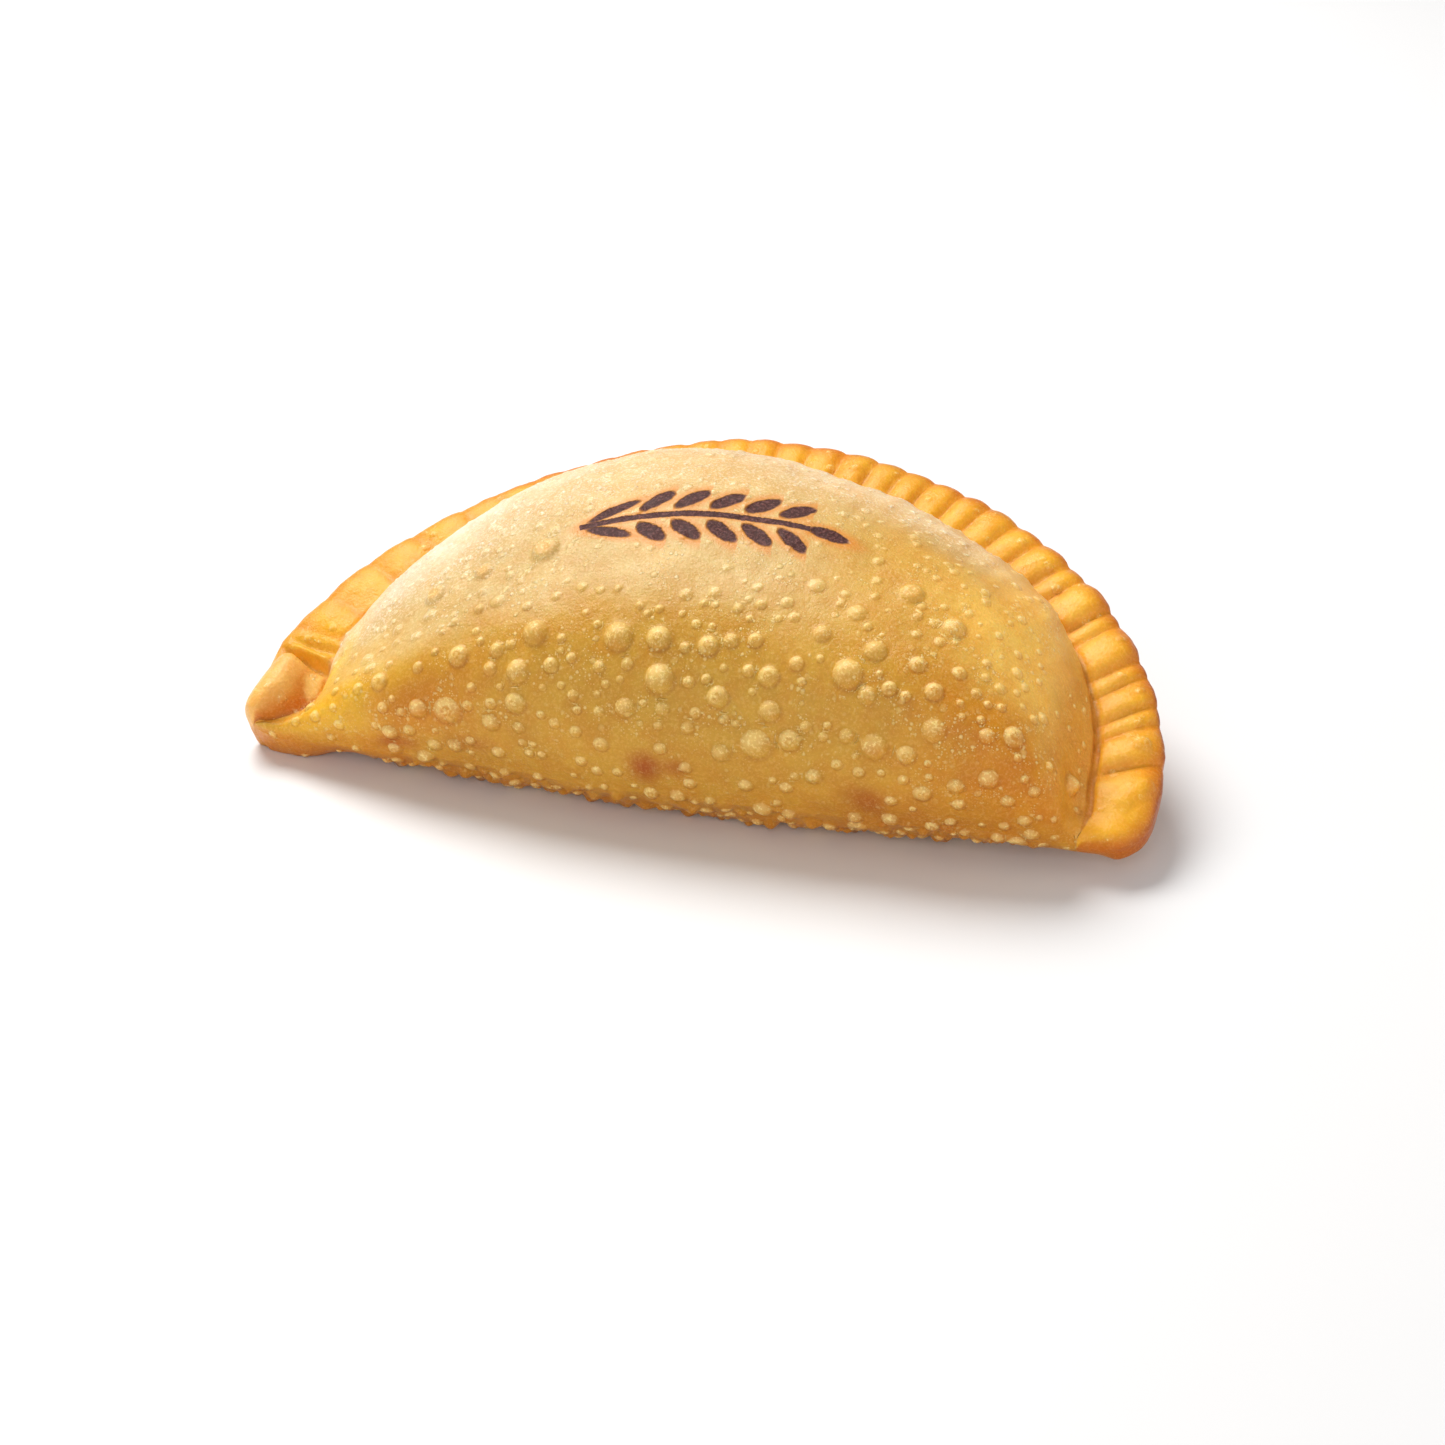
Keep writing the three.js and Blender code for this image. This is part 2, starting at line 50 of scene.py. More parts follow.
TILT = radians(22)                    # rise of the seam plane
SEAM_Z = 6.4                          # seam plane above the table, at w = 0
RIM_DEPTH = 58.0                      # rim edge behind the tips' line
# half: tip from the middle; reach: how far the corner comes forward;
# long, deep, corner: the rounded corner and its fullness; power: fullness of the arc behind it
LEFT_TIP = dict(half=62.5, reach=6.7, long=12.0, deep=6.7, power=1.70, corner=2.6)
RIGHT_TIP = dict(half=65.0, reach=7.4, long=9.8, deep=9.9, power=1.95, corner=2.7)
CREASE_START = radians(45)            # how far round the left corner the crease starts
# the rim from crease to edge: distance along it, width
RIM_WIDTHS = ((20, 9.0), (70, 10.5), (110, 10.5), (140, 8.8), (170, 9.0), (186, 9.6))
RIM_HALF = 1.9                        # half the rim's thickness in a groove
DOME, LEAST_TOP = 24.0, 2.4           # crest above the seam plane
BELLY, LEAST_BOTTOM = 13.5, 2.6       # depth below the seam plane
# the left tip: extra depth of its lip, its lower top, extra depth of the rim there,
# how much the rim's edge is flattened
TIP_LIP, TIP_TOP, TIP_RIM, TIP_FLAT = 2.6, 0.8, 3.7, 1.0
NOSE = 4.0                            # fold nose above the seam plane
FOLD_BULGE = 3.0                      # fold ahead of the corners' line
CREST = 0.40                          # crest's place from fold to crease
# how far along each half the dome and the belly run before they flatten out
DOME_RUN, BELLY_RUN = dict(left=55.5, right=57.5), dict(left=57.0, right=48.0)
# fullness of the section: the dome's front, the belly's front and its rear
FRONT_POWER, BELLY_POWER, REAR_POWER = 2.15, 1.7, 2.3
# the dome's rear, which is full on the left and leaner on the right: distance along the rim, power
REAR_POWERS = ((4, 1.6), (10, 2.6), (20, 3.2), (32, 3.4), (44, 3.4), (56, 3.2), (68, 2.8), (82, 2.4),
               (96, 2.2), (110, 2.0), (124, 1.8), (138, 1.9), (152, 2.4), (166, 2.6), (185, 2.0))
FILLET, END_FILLET = 0.8, 0.3         # dome's foot running out onto the rim, less at the right
# lobes of the rim: even ones over most of it, then these sizes, then the end pad
LOBES_FROM, EVEN_LOBES_TO, EVEN_LOBE = 12.4, 146.3, (3.9, 5.4)
LAST_LOBES = (7.5, 3.0, 8.0, 3.4, 5.6, 3.2, 7.0)
LOBE_RISE, LOBE_MOST = 0.21, 1.6      # height: share of its size, and the limit
LOBE_LEAN, PILLOW = -0.2, 0.09        # its lean to one side, its rounded inner end
LOBE_SLANT = 3.6                      # how far the last lobes' outer ends lag behind their inner ones
LOBE_OUT, LOBE_UNDER = 0.36, 0.35     # share of its height that bulges outwards, and underneath
EDGE_BACK = 0.7                       # height of lobe that leaves the rim's edge on its line
END_PAD_HIGH = 1.4
# the crease beside the end pad: its rise, its bulge towards the pad, the fold's share of the corner
END_CREASE_RISE, END_CREASE_OUT, CORNER_FOLD = 0.4, 0.6, 5.0
# the ear at the left tip: a pad, a facet beside it, the depth of its crease
EAR = dict(x=-58.4, w=0.5, long=6.5, wide=4.1, high=3.1, turn=radians(76))
FACET = dict(x=-52.8, w=1.6, wide=1.3, long=3.0, high=2.5)
EAR_DEEP = 1.3
# the valley between the pad and the facet, and the grooves that end the ear: each line
# has its w at x and the slope by which w changes along x
EAR_VALLEY = dict(x=-54.2, w=1.6, half=0.7, long=3.6, deep=1.1)
EAR_GROOVE = dict(x=-54.0, w=5.4, slope=-0.4, deep=1.7, half=0.8)
SECOND_GROOVE = dict(x=-54.0, w=8.5, slope=-0.13, deep=0.9, half=0.8)
GROOVE_RIDGE = dict(after=1.5, high=0.6)
# the ear's crease against the body: distance along the rim, x, w
EAR_CREASE = ((-4.4, -57.6, -4.75), (-2.9, -56.2, -4.1), (-1.4, -54.9, -3.3), (0.1, -53.5, -2.3),
              (1.6, -52.4, -1.1), (3.1, -51.7, 0.3), (4.6, -51.4, 1.9), (6.1, -51.5, 3.6),
              (7.6, -51.6, 5.2), (9.0, -51.6, 6.6), (11.0, -51.4, 8.7), (13.5, -51.2, 11.4))
EAR_CREASE_END = 17.0
# the fold's pace round the left corner: distance along the rim, along the fold
FOLD_PACE = ((-4.4, 1.4), (-2.9, 2.7), (-1.4, 4.2), (0.1, 5.8), (1.6, 7.4), (3.1, 8.9),
             (5.1, 10.6), (7.6, 12.8), (11.0, 17.1), (17.0, 23.1))
# seeds of the random draws
LOBE_SEED, BLISTER_SEED, SMALL_SEED, SHADE_SEED = 7, 41, 5, 11


def smooth(a, b, x):
    """0 up to a, 1 from b on, with an easy change between them."""
    t = np.clip((x - a) / (b - a), 0, 1)
    return t * t * (3 - 2 * t)


def bump(rho, power=2.0):
    """1 in the middle, 0 from rho = 1 on."""
    return np.clip(1 - np.abs(rho) ** power, 0, 1)


class Draw:
    """A small repeatable random draw."""

    def __init__(self, seed):
        self.state = seed

    def __call__(self, low, high):
        self.state = (self.state * 1664525 + 1013904223) % 4294967296
        return low + (high - low) * self.state / 4294967296


def arc_part(tip, n=2000):
    """Half of the rim's edge, from the tip to the middle of the back."""
    base = tip["deep"] - tip["reach"]
    a = np.linspace(0, pi / 2, n)
    c = np.clip(np.cos(a), 0, None)
    return tip["half"] * c ** (2 / tip["power"]), base + (RIM_DEPTH - base) * np.sin(a) ** (2 / tip["power"])


def corner_part(tip, start=0.0, end=pi / 2, n=160):
    """The rounded corner in front of a tip, from the fold to the arc."""
    g = np.linspace(start, end, n)
    turn = 2 / tip["corner"]
    c = np.clip(np.cos(g), 0, None)
    return tip["half"] - tip["long"] * (1 - np.sin(g) ** turn), -tip["reach"] + tip["deep"] * (1 - c ** turn)


def lengths(x, w):
    """Distance along a line, at each of its points."""
    return np.concatenate([[0], np.cumsum(np.hypot(np.diff(x), np.diff(w)))])


# the rim's edge (O): the left corner (T) from the crease's start, both arcs (L, R), the right corner (C)
LX, LW = arc_part(LEFT_TIP)
RX, RW = arc_part(RIGHT_TIP)
CX, CW = corner_part(RIGHT_TIP)
TX, TW = corner_part(LEFT_TIP, start=CREASE_START)
OX = np.concatenate([-TX[:-1], -LX, RX[::-1][1:], CX[::-1][1:]])
OW = np.concatenate([TW[:-1], LW, RW[::-1][1:], CW[::-1][1:]])
OD = lengths(OX, OW)
OD = OD - OD[len(TX) - 1]
START, TOTAL = OD[0], OD[-1]
RIGHT_CORNER = lengths(CX, CW)[-1]
# the fold (F): the rest of the left corner, then from (X0, W0) along the front to (X1, W1)
TX, TW = corner_part(LEFT_TIP, end=CREASE_START)
X0, W0 = -LEFT_TIP["half"] + LEFT_TIP["long"], -LEFT_TIP["reach"]
X1, W1 = RIGHT_TIP["half"] - RIGHT_TIP["long"], -RIGHT_TIP["reach"]
U = np.linspace(0, 1, 400)[1:]
FX = np.concatenate([-TX[::-1], X0 + (X1 - X0) * U])
FW = np.concatenate([TW[::-1], W0 + (W1 - W0) * U - FOLD_BULGE * np.clip(1 - (2 * U - 1) ** 2, 0, 1) ** 1.5])
FD = lengths(FX, FW)
CREASE = ((START, OX[0], OW[0]),) + EAR_CREASE
PACE = ((START, 0.0),) + FOLD_PACE + ((TOTAL - RIGHT_CORNER, FD[-1] - CORNER_FOLD), (TOTAL, FD[-1]))


def table(points, d, k):
    """Value k of the points, by distance d."""
    return np.interp(d, [p[0] for p in points], [p[k] for p in points])


def rim_at(d):
    """The rim's edge at distance d, and the way out from it."""
    step = 1.5
    x, w = np.interp(d, OD, OX), np.interp(d, OD, OW)
    a, b = np.minimum(d + step, TOTAL), np.maximum(d - step, START)
    tx = np.interp(a, OD, OX) - np.interp(b, OD, OX)
    tw = np.interp(a, OD, OW) - np.interp(b, OD, OW)
    size = np.hypot(tx, tw)
    return x, w, -tw / size, tx / size


def make_lobes():
    """Start, size and height of each: long and faint at first, then even, then wide and narrow by turns."""
    draw = Draw(LOBE_SEED)
    at, lobes = LOBES_FROM, []
    sizes = list(LAST_LOBES)
    while at < TOTAL - 1 and (at < EVEN_LOBES_TO - 0.01 or sizes):
        if at < EVEN_LOBES_TO - 0.01:
            size = draw(*EVEN_LOBE) * (1 + 0.6 * smooth(60, 30, at) + 0.2 * smooth(115, 135, at))
            if EVEN_LOBES_TO - at < 1.5 * size:
                size = EVEN_LOBES_TO - at
        else:
            size = sizes.pop(0)
        faint = 0.3 + 0.7 * smooth(40, 120, at)
        lobes.append((at, float(size), float(min(LOBE_RISE * size, LOBE_MOST) * faint)))
        at += float(size)
    lobes.append((at, TOTAL - at, END_PAD_HIGH))
    return np.array(lobes)


LOBES = make_lobes()


def lobe_at(d):
    """How far across its lobe (-1 to 1, leaning), and that lobe's height."""
    k = np.clip(np.searchsorted(LOBES[:, 0], d, side="right") - 1, 0, len(LOBES) - 1)
    u = np.clip(2 * (d - LOBES[k, 0]) / LOBES[k, 1] - 1, -1, 1)
    end_pad = k == len(LOBES) - 1
    u = np.where(end_pad, np.clip(-u, 0, 1) ** 1.5, u + LOBE_LEAN * (1 - u * u))
    return u, np.where(d < LOBES[0, 0], 0, LOBES[k, 2])


def lobe_high(u, high, r):
    """A lobe's height across it (u) and from the crease out (r); its inner end is rounded."""
    inner = 0.7 * max(PILLOW - r, 0) / PILLOW
    return high * bump(np.hypot(u, inner), 2.6) * sin(pi * (0.2 + 0.6 * r)) ** 0.6


def envelope(x, under=False):
    """How high the dome, or how deep the belly, stands at x, from 0 to 1."""
    run = BELLY_RUN if under else DOME_RUN
    left = np.clip(1 - (np.clip(-x, 0, None) / run["left"]) ** 2.0, 0, 1) ** (1.5 if under else 1.05)
    right = np.clip(1 - (np.clip(x, 0, None) / run["right"]) ** (2.0 if under else 3.8), 0, 1)
    return np.where(x < 0, left, right if under else right ** 0.8)


def frame_at(d):
    """What a column hangs on: the rim's edge, the crease and the fold, and the sizes there."""
    d = np.asarray(d, float)
    x, w, nx, nw = rim_at(d)
    width = table(RIM_WIDTHS, d, 1)
    ix, iw = x - nx * width, w - nw * width
    slant = LOBE_SLANT * smooth(135, 178, d) * smooth(TOTAL, TOTAL - 12, d)
    x, w = np.interp(d - slant, OD, OX), np.interp(d - slant, OD, OW)
    # the crease has its own line at the ear and runs straight to the fold at the right corner
    t = smooth(11, EAR_CREASE_END, d)
    ix = table(CREASE, d, 1) * (1 - t) + ix * t
    iw = (table(CREASE, d, 2) + np.clip(d - CREASE[-1][0], 0, None)) * (1 - t) + iw * t
    tr = np.clip((d - (TOTAL - RIGHT_CORNER)) / RIGHT_CORNER, 0, 1)
    bx, bw, bnx, bnw = rim_at(TOTAL - RIGHT_CORNER)
    right_width = RIM_WIDTHS[-1][1]
    sx, sw = bx - bnx * right_width, bw - bnw * right_width
    ix = np.where(tr > 0, sx + (X1 - sx) * tr + END_CREASE_OUT * np.sin(pi * tr), ix)
    iw = np.where(tr > 0, sw + (W1 - sw) * tr, iw)
    s = table(PACE, d, 1)
    fx, fw = np.interp(s, FD, FX), np.interp(s, FD, FW)
    reach, wide = np.hypot(ix - fx, iw - fw), np.hypot(x - ix, w - iw)
    left = d < TOTAL / 2
    half = RIM_HALF * np.sqrt(np.clip(wide / np.where(left, 2.5, 1.2), 0, 1))
    u, high = lobe_at(d)
    ear_dip = EAR_DEEP * smooth(START, START + 3, d) * smooth(9.0, 5.5, d)
    end_rise = END_CREASE_RISE * smooth(TOTAL - 7, TOTAL - 2, d) * smooth(0, 1, wide)
    fillet = FILLET + (END_FILLET - FILLET) * smooth(125, 145, d)
    return dict(d=d, x=x, w=w, nx=nx, nw=nw, ix=ix, iw=iw, fx=fx, fw=fw, half=half, wide=wide,
                crease=half - ear_dip + lobe_high(u, high, 0) * smooth(0, 5, wide) + end_rise,
                full=np.sqrt(np.clip(reach / np.where(left, 1.5, 1.2), 0, 1)),
                crest=np.where(left, 1, smooth(0, 14, reach)),
                under=half * (1 + TIP_RIM / RIM_HALF * smooth(14, 3, d)),
                rear=table(REAR_POWERS, d, 1),
                fillet=fillet * smooth(14, 24, d) * smooth(0, 8, wide),
                lobe_u=u, lobe_high=high)


def lift(x, w, h):
    """From the seam plane (x, w) and a height off it to the resting frame."""
    y = w * cos(TILT) - h * sin(TILT)
    z = w * sin(TILT) + h * cos(TILT) + SEAM_Z
    return np.stack([x - ORIGIN[0], y - ORIGIN[1], z], -1)


def body(f, s, top):
    """The dome (top) or belly, from the fold at s = 0 to the crease at s = 1."""
    front = s <= 0.5
    power = (FRONT_POWER if top else BELLY_POWER) if front else REAR_POWER
    own = f["rear"] if top and not front else power
    th = pi * (s if front else 1 - s)
    c = max(cos(th), 0) ** (2 / power)
    k = np.clip(1 - c ** own, 0, 1) ** (1 / own)
    q = CREST * (1 - c) if front else CREST + (1 - CREST) * c
    x, w = f["fx"] + (f["ix"] - f["fx"]) * q, f["fw"] + (f["iw"] - f["fw"]) * q
    e = envelope(x) * f["crest"]
    tip = smooth(-45, -54, x)
    least = LEAST_BOTTOM + TIP_LIP * tip
    start = NOSE * e * f["full"] if front else (f["crease"] if top else -f["under"])
    if top:
        goal = (LEAST_TOP - TIP_TOP * tip + (DOME - LEAST_TOP) * e) * f["full"]
    else:
        goal = -(least + (BELLY - least) * envelope(x, True)) * f["full"]
    h = start + (goal - start) * k
    if top and not front:
        foot = np.clip(1 - (h - start) / np.maximum(f["fillet"], 1e-6), 0, 1)
        out = f["fillet"] * (1 - np.sqrt(1 - foot ** 2))
        x, w = x + f["nx"] * out, w + f["nw"] * out
    return x, w, h


def ear(x, w):
    """The end of the rim folded over at the left tip: a pad, a valley and a facet."""
    c, s = cos(EAR["turn"]), sin(EAR["turn"])
    u, v = (x - EAR["x"]) * c + (w - EAR["w"]) * s, -(x - EAR["x"]) * s + (w - EAR["w"]) * c
    pad = EAR["high"] * bump(np.hypot(u / EAR["long"], v / EAR["wide"]), 2.6) ** 0.75
    off_facet = np.hypot((x - FACET["x"]) / FACET["wide"], (w - FACET["w"]) / FACET["long"])
    facet = FACET["high"] * bump(off_facet, 3.0) ** 0.6
    valley = np.exp(-((x - EAR_VALLEY["x"]) / EAR_VALLEY["half"]) ** 2)
    valley = valley * bump((w - EAR_VALLEY["w"]) / EAR_VALLEY["long"])
    return (pad ** 4 + facet ** 4) ** 0.25 - EAR_VALLEY["deep"] * valley


def ear_grooves(x, w):
    """The groove that ends the ear, with a thin ridge and a second groove."""
    def wave(line, after=0.0):
        past = w - (line["w"] + line["slope"] * (x - line["x"]))
        return np.exp(-((past - after) / line["half"]) ** 2)

    on = smooth(-61.0, -57.5, x) * smooth(-49, -51.5, x)
    return on * (GROOVE_RIDGE["high"] * wave(EAR_GROOVE, GROOVE_RIDGE["after"])
                 - EAR_GROOVE["deep"] * wave(EAR_GROOVE) - SECOND_GROOVE["deep"] * wave(SECOND_GROOVE))


def rim(f, r, top):
    """The rim, from the crease at r = 0 to its edge at r = 1."""
    lobe = lobe_high(f["lobe_u"], f["lobe_high"], r)
    edge = max(1 - r ** 5, 0) ** 0.5
    out = LOBE_OUT * (lobe - EDGE_BACK * smooth(6, 14, f["d"])) - TIP_FLAT * bump((f["d"] - 3) / 7)
    out = out * smooth(0.3, 1.0, r) * smooth(0, 6, f["wide"])
    out = out + f["fillet"] * (1 - r)
    x, w = f["ix"] + (f["x"] - f["ix"]) * r, f["iw"] + (f["w"] - f["iw"]) * r
    h = f["half" if top else "under"] + lobe * (1.0 if top else LOBE_UNDER) * smooth(0, 5, f["wide"])
    if top:
        h = f["crease"] + (h - f["crease"]) * smooth(0, 0.05 + 0.2 * smooth(16, 10, f["d"]), r)
        h = h + ear(x, w) * smooth(0, 0.2, r) * smooth(0, 3, f["wide"]) + ear_grooves(x, w)
    return x + f["nx"] * out, w + f["nw"] * out, h * edge * (1 if top else -1)


# ------------------------------------------------------------ noise
def lattice(i, j, k, seed):
    """A repeatable value between -1 and 1 for each corner of a lattice."""
    mask = 0xFFFFFFFF
    n = ((i * 73856093) ^ (j * 19349663) ^ (k * 83492791) ^ (seed * 2654435761)) & mask
    n = ((n ^ (n >> 16)) * 0x7FEB352D) & mask
    n = ((n ^ (n >> 15)) * 0x046CA68B) & mask
    return ((n ^ (n >> 16)) & 0xFFFF) / 65535.0 * 2 - 1


def noise(p, size, seed):
    """Smooth noise between -1 and 1, with lumps of about that size."""
    q = p / size + 1000.0
    c = np.floor(q).astype(np.int64)
    t = q - c
    t = t * t * (3 - 2 * t)
    total = 0.0
    for a in (0, 1):
        for b in (0, 1):
            for e in (0, 1):
                weight = np.abs(1 - a - t[..., 0]) * np.abs(1 - b - t[..., 1]) * np.abs(1 - e - t[..., 2])
                total = total + weight * lattice(c[..., 0] + a, c[..., 1] + b, c[..., 2] + e, seed)
    return total


# ------------------------------------------------------------ the grid
COLUMNS = 440
# the ear takes this share of the columns, up to this distance along the rim
EAR_COLUMNS, EAR_TO = 0.16, 14
# rows of the section: share of the way at their start, how many to the next
TOP_ROWS = (((0.0, 112), (0.62, 38), (1.0, 0)))
UNDER_ROWS = (((0.0, 26), (0.16, 18), (1.0, 0)))
RIM_ROWS, RIM_UNDER = ((26, 7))


def spread(parts):
    """Shares of the way, closer where the parts say."""
    runs = [np.linspace(a[0], b[0], a[1], endpoint=False) for a, b in zip(parts, parts[1:])]
    return np.concatenate(runs + [[1.0]])


def outward(count):
    """Shares across the rim, closer towards its edge."""
    return [1 - (1 - j / count) ** 1.5 for j in range(1, count + 1)]


COLUMN_AT = np.interp(np.linspace(0, 1, COLUMNS), [0, EAR_COLUMNS, 1], [START, EAR_TO, TOTAL])
F = frame_at(COLUMN_AT)
# each row: its points; share of the way from fold to crease, negative underneath; share across the rim
rows = [(body(F, s, True), s, 0) for s in spread(TOP_ROWS)]
rows += [(rim(F, r, True), 1, r) for r in outward(RIM_ROWS)]
rows += [(rim(F, r, False), -1, r) for r in outward(RIM_UNDER)[-2::-1]]
rows += [(body(F, s, False), -s, 0) for s in spread(UNDER_ROWS)[:0:-1]]
ROW_T = [row[1] for row in rows]
P = np.stack([lift(*row[0]) for row in rows], 1)
N_ROWS = P.shape[1]
T = np.broadcast_to(np.array(ROW_T, float), P.shape[:2])
R = np.broadcast_to(np.array([row[2] for row in rows], float), P.shape[:2])
D = np.broadcast_to(COLUMN_AT[:, None], P.shape[:2])
X = P[..., 0] + ORIGIN[0]
W = (P[..., 1] + ORIGIN[1]) * cos(TILT) + (P[..., 2] - SEAM_Z) * sin(TILT)
on_body, on_rim = (R == 0), (R > 0)
top_side = T >= 0


def grid_normals(p):
    """The way out of the dough at each point of the grid."""
    du = np.gradient(p, axis=0)
    dv = np.roll(p, -1, 1) - np.roll(p, 1, 1)
    n = np.cross(du, dv)
    size = np.linalg.norm(n, axis=-1, keepdims=True)
    return n / np.maximum(size, 1e-12)


def cell_areas(p):
    """The area that each point of the grid stands for."""
    return np.linalg.norm(np.cross(np.gradient(p, axis=0), np.gradient(p, axis=1)), axis=-1)


NORMAL = grid_normals(P)

# ------------------------------------------------------------ blisters
# the large ones: x along the length, share of the way round from the fold, radius, look
LARGE_BLISTERS = (
    (-35.5, 0.57, 1.8, "ring"), (-29.0, 0.56, 1.5, "ring"), (-20.5, 0.55, 2.1, "ring"),
    (30.0, 0.55, 1.7, "ring"), (36.5, 0.54, 1.6, "bead"), (-28.5, 0.35, 1.5, "bead"),
    (-18.0, 0.37, 1.8, "bead"), (-6.5, 0.35, 2.0, "bead"), (-1.0, 0.35, 1.7, "bead"),
    (24.5, 0.35, 2.0, "bead"), (-19.5, 0.28, 1.6, "bead"), (0.0, 0.27, 2.0, "bead"),
    (8.0, 0.25, 1.5, "bead"), (27.5, 0.42, 1.5, "bead"), (36.5, 0.29, 1.6, "low"),
    (-29.5, 0.18, 2.0, "low"), (-19.5, 0.20, 1.5, "bead"), (13.5, 0.16, 2.1, "low"),
    (18.0, 0.18, 1.5, "bead"), (29.0, 0.20, 1.8, "ring"), (46.5, 0.43, 1.5, "low"),
    (54.6, 0.715, 1.4, "drop"),
)
# scattered ones: how many, x, share of the way round, radius
SCATTERED = ((26, (-46, 50), (-0.02, 0.56), (1.15, 1.45)), (70, (-46, 50), (-0.14, 0.60), (0.8, 1.1)))
# on the rim's right end: distance along it, share of the way across, radius
RIM_BLISTERS = ((180.5, 0.62, 1.4),)
# one long blister there: its two ends, its radius and height
RIM_WELT = dict(ends=((188.2, 0.74), (191.4, 0.46)), radius=1.4, high=0.34)
# smooth places, no blisters there: x, share of the way round, half their length, half their share
SMOOTH_PLACES = ((1.0, 0.58, 20.0, 0.12), (-1.5, 0.065, 3.0, 0.05), (28.0, 0.055, 3.0, 0.05))
GAP = 0.45                            # least distance between two
BEADS_TO = 0.42                       # share of the way round up to which scattered ones stand out
OWN_LOOK = 0.8                        # share of the smaller ones with their own look; the rest are low
MOST_TRIES = 4000
# each look's height, as a share of the radius
HEIGHTS = {"bead": 0.46, "ring": 0.40, "low": 0.24, "drop": 0.9, "knob": 0.6}


def smooth_places(x, t):
    """0 at the middle of the nearest smooth place, 1 on its border and more outside."""
    return np.min([np.hypot((x - cx) / a, (t - ct) / b) for cx, ct, a, b in SMOOTH_PLACES], axis=0)


def section(f, t):
    """A point of the section, by its signed share of the way round."""
    return body(f, abs(t), t >= 0)


def place(x, t):
    """Distance along the rim at which the section's point t lies at x."""
    d = np.linspace(16, TOTAL - 4, 300)
    return float(np.interp(x, section(frame_at(d), t)[0], d))


def surface_at(d, t):
    """The section's point t at distance d, and the way out of the dough there."""
    def at(d, t):
        return lift(*section(frame_at(d), t))

    a, b = at(d + 0.3, t) - at(d - 0.3, t), at(d, t + 0.004) - at(d, t - 0.004)
    n = np.cross(a, b)
    return at(d, t), n / np.linalg.norm(n)


blisters = []      # place, radius, look
for x, t, r, look in LARGE_BLISTERS:
    blisters.append((surface_at(place(x, t), t)[0], r, look))
for d, r, radius in RIM_BLISTERS:
    blisters.append((lift(*rim(frame_at(d), r, True)), radius, "bead"))
draw = Draw(BLISTER_SEED)
for count, x_range, t_range, r_range in SCATTERED:
    made = tries = 0
    while made < count and tries < MOST_TRIES:
        tries += 1
        x, t, r = draw(*x_range), draw(*t_range), draw(*r_range)
        if smooth_places(x, t) < 1:
            continue
        p = surface_at(place(x, t), t)[0]
        if any(np.linalg.norm(p - q) < r + o + GAP for q, o, _ in blisters):
            continue
        blisters.append((p, r, "bead" if t < BEADS_TO else "low"))
        made += 1

# smaller ones, straight on the grid's points
small = np.random.default_rng(SMALL_SEED)
flat_p = P.reshape(-1, 3)
cell = cell_areas(P)
# over the front, and clear of the ends and the smooth places
belt = smooth(-0.34, -0.16, T) * smooth(0.62, 0.45, T)
ends = smooth(-57, -46, X) * smooth(60, 50, X) * smooth(0.95, 1.1, smooth_places(X, T))


def scatter(weight, count, radius, look, gap, power=1.0):
    """Draws points by their weight and area, and keeps those that are clear of the other blisters."""
    weight = (np.clip(weight, 0, None) * cell).ravel()
    pick = small.choice(len(flat_p), size=count * 3, p=weight / weight.sum())
    made = 0
    places = [b[0] for b in blisters]
    radii = [b[1] for b in blisters]
    for k in pick:
        r = radius[0] + (radius[1] - radius[0]) * small.random() ** power
        p = flat_p[k]
        if (np.linalg.norm(np.array(places) - p, axis=1) < np.array(radii) + r + gap).any():
            continue
        blisters.append((p, r, look if small.random() < OWN_LOOK else "low"))
        places.append(p); radii.append(r)
        made += 1
        if made >= count:
            break


scatter(on_body * belt * ends, count=210, radius=(0.5, 0.85), look="bead", gap=0.4, power=1.3)
# knobbly lower edge: on the belly's front, where it turns under
low_edge = smooth(-0.42, -0.32, T) * smooth(-0.02, -0.10, T) * on_body * ends * smooth(-48, -32, X)
scatter(low_edge, count=160, radius=(0.9, 1.6), look="knob", gap=-0.3)
scatter(low_edge, count=260, radius=(0.5, 0.8), look="knob", gap=-0.1)
# pimples on the upper dome and the rim
upper = on_body * smooth(-57, -46, X) * smooth(0.45, 0.6, T) * smooth(1.0, 0.93, T)
upper = upper * (1 - 0.7 * smooth(44, 50, X))
scatter(upper, count=440, radius=(0.34, 0.8), look="low", gap=0.25, power=1.6)
rim_face = (R > 0.1) * (R < 0.8) * top_side * 1.0
scatter(rim_face, count=90, radius=(0.35, 0.8), look="low", gap=0.3)


def profile(rho, look):
    """Height of that look's dome, by the share of its radius."""
    if look in ("low", "knob"):
        return bump(rho, 2.0) ** 1.3
    if look == "ring":
        return bump(rho, 2.6) ** 0.6 - 0.55 * bump(rho / 0.6, 2.0) ** 1.2
    return bump(rho, 2.0) ** 0.7


tree = KDTree(len(flat_p))
for k, p in enumerate(flat_p):
    tree.insert(p, k)
tree.balance()
raised = np.zeros(len(flat_p))
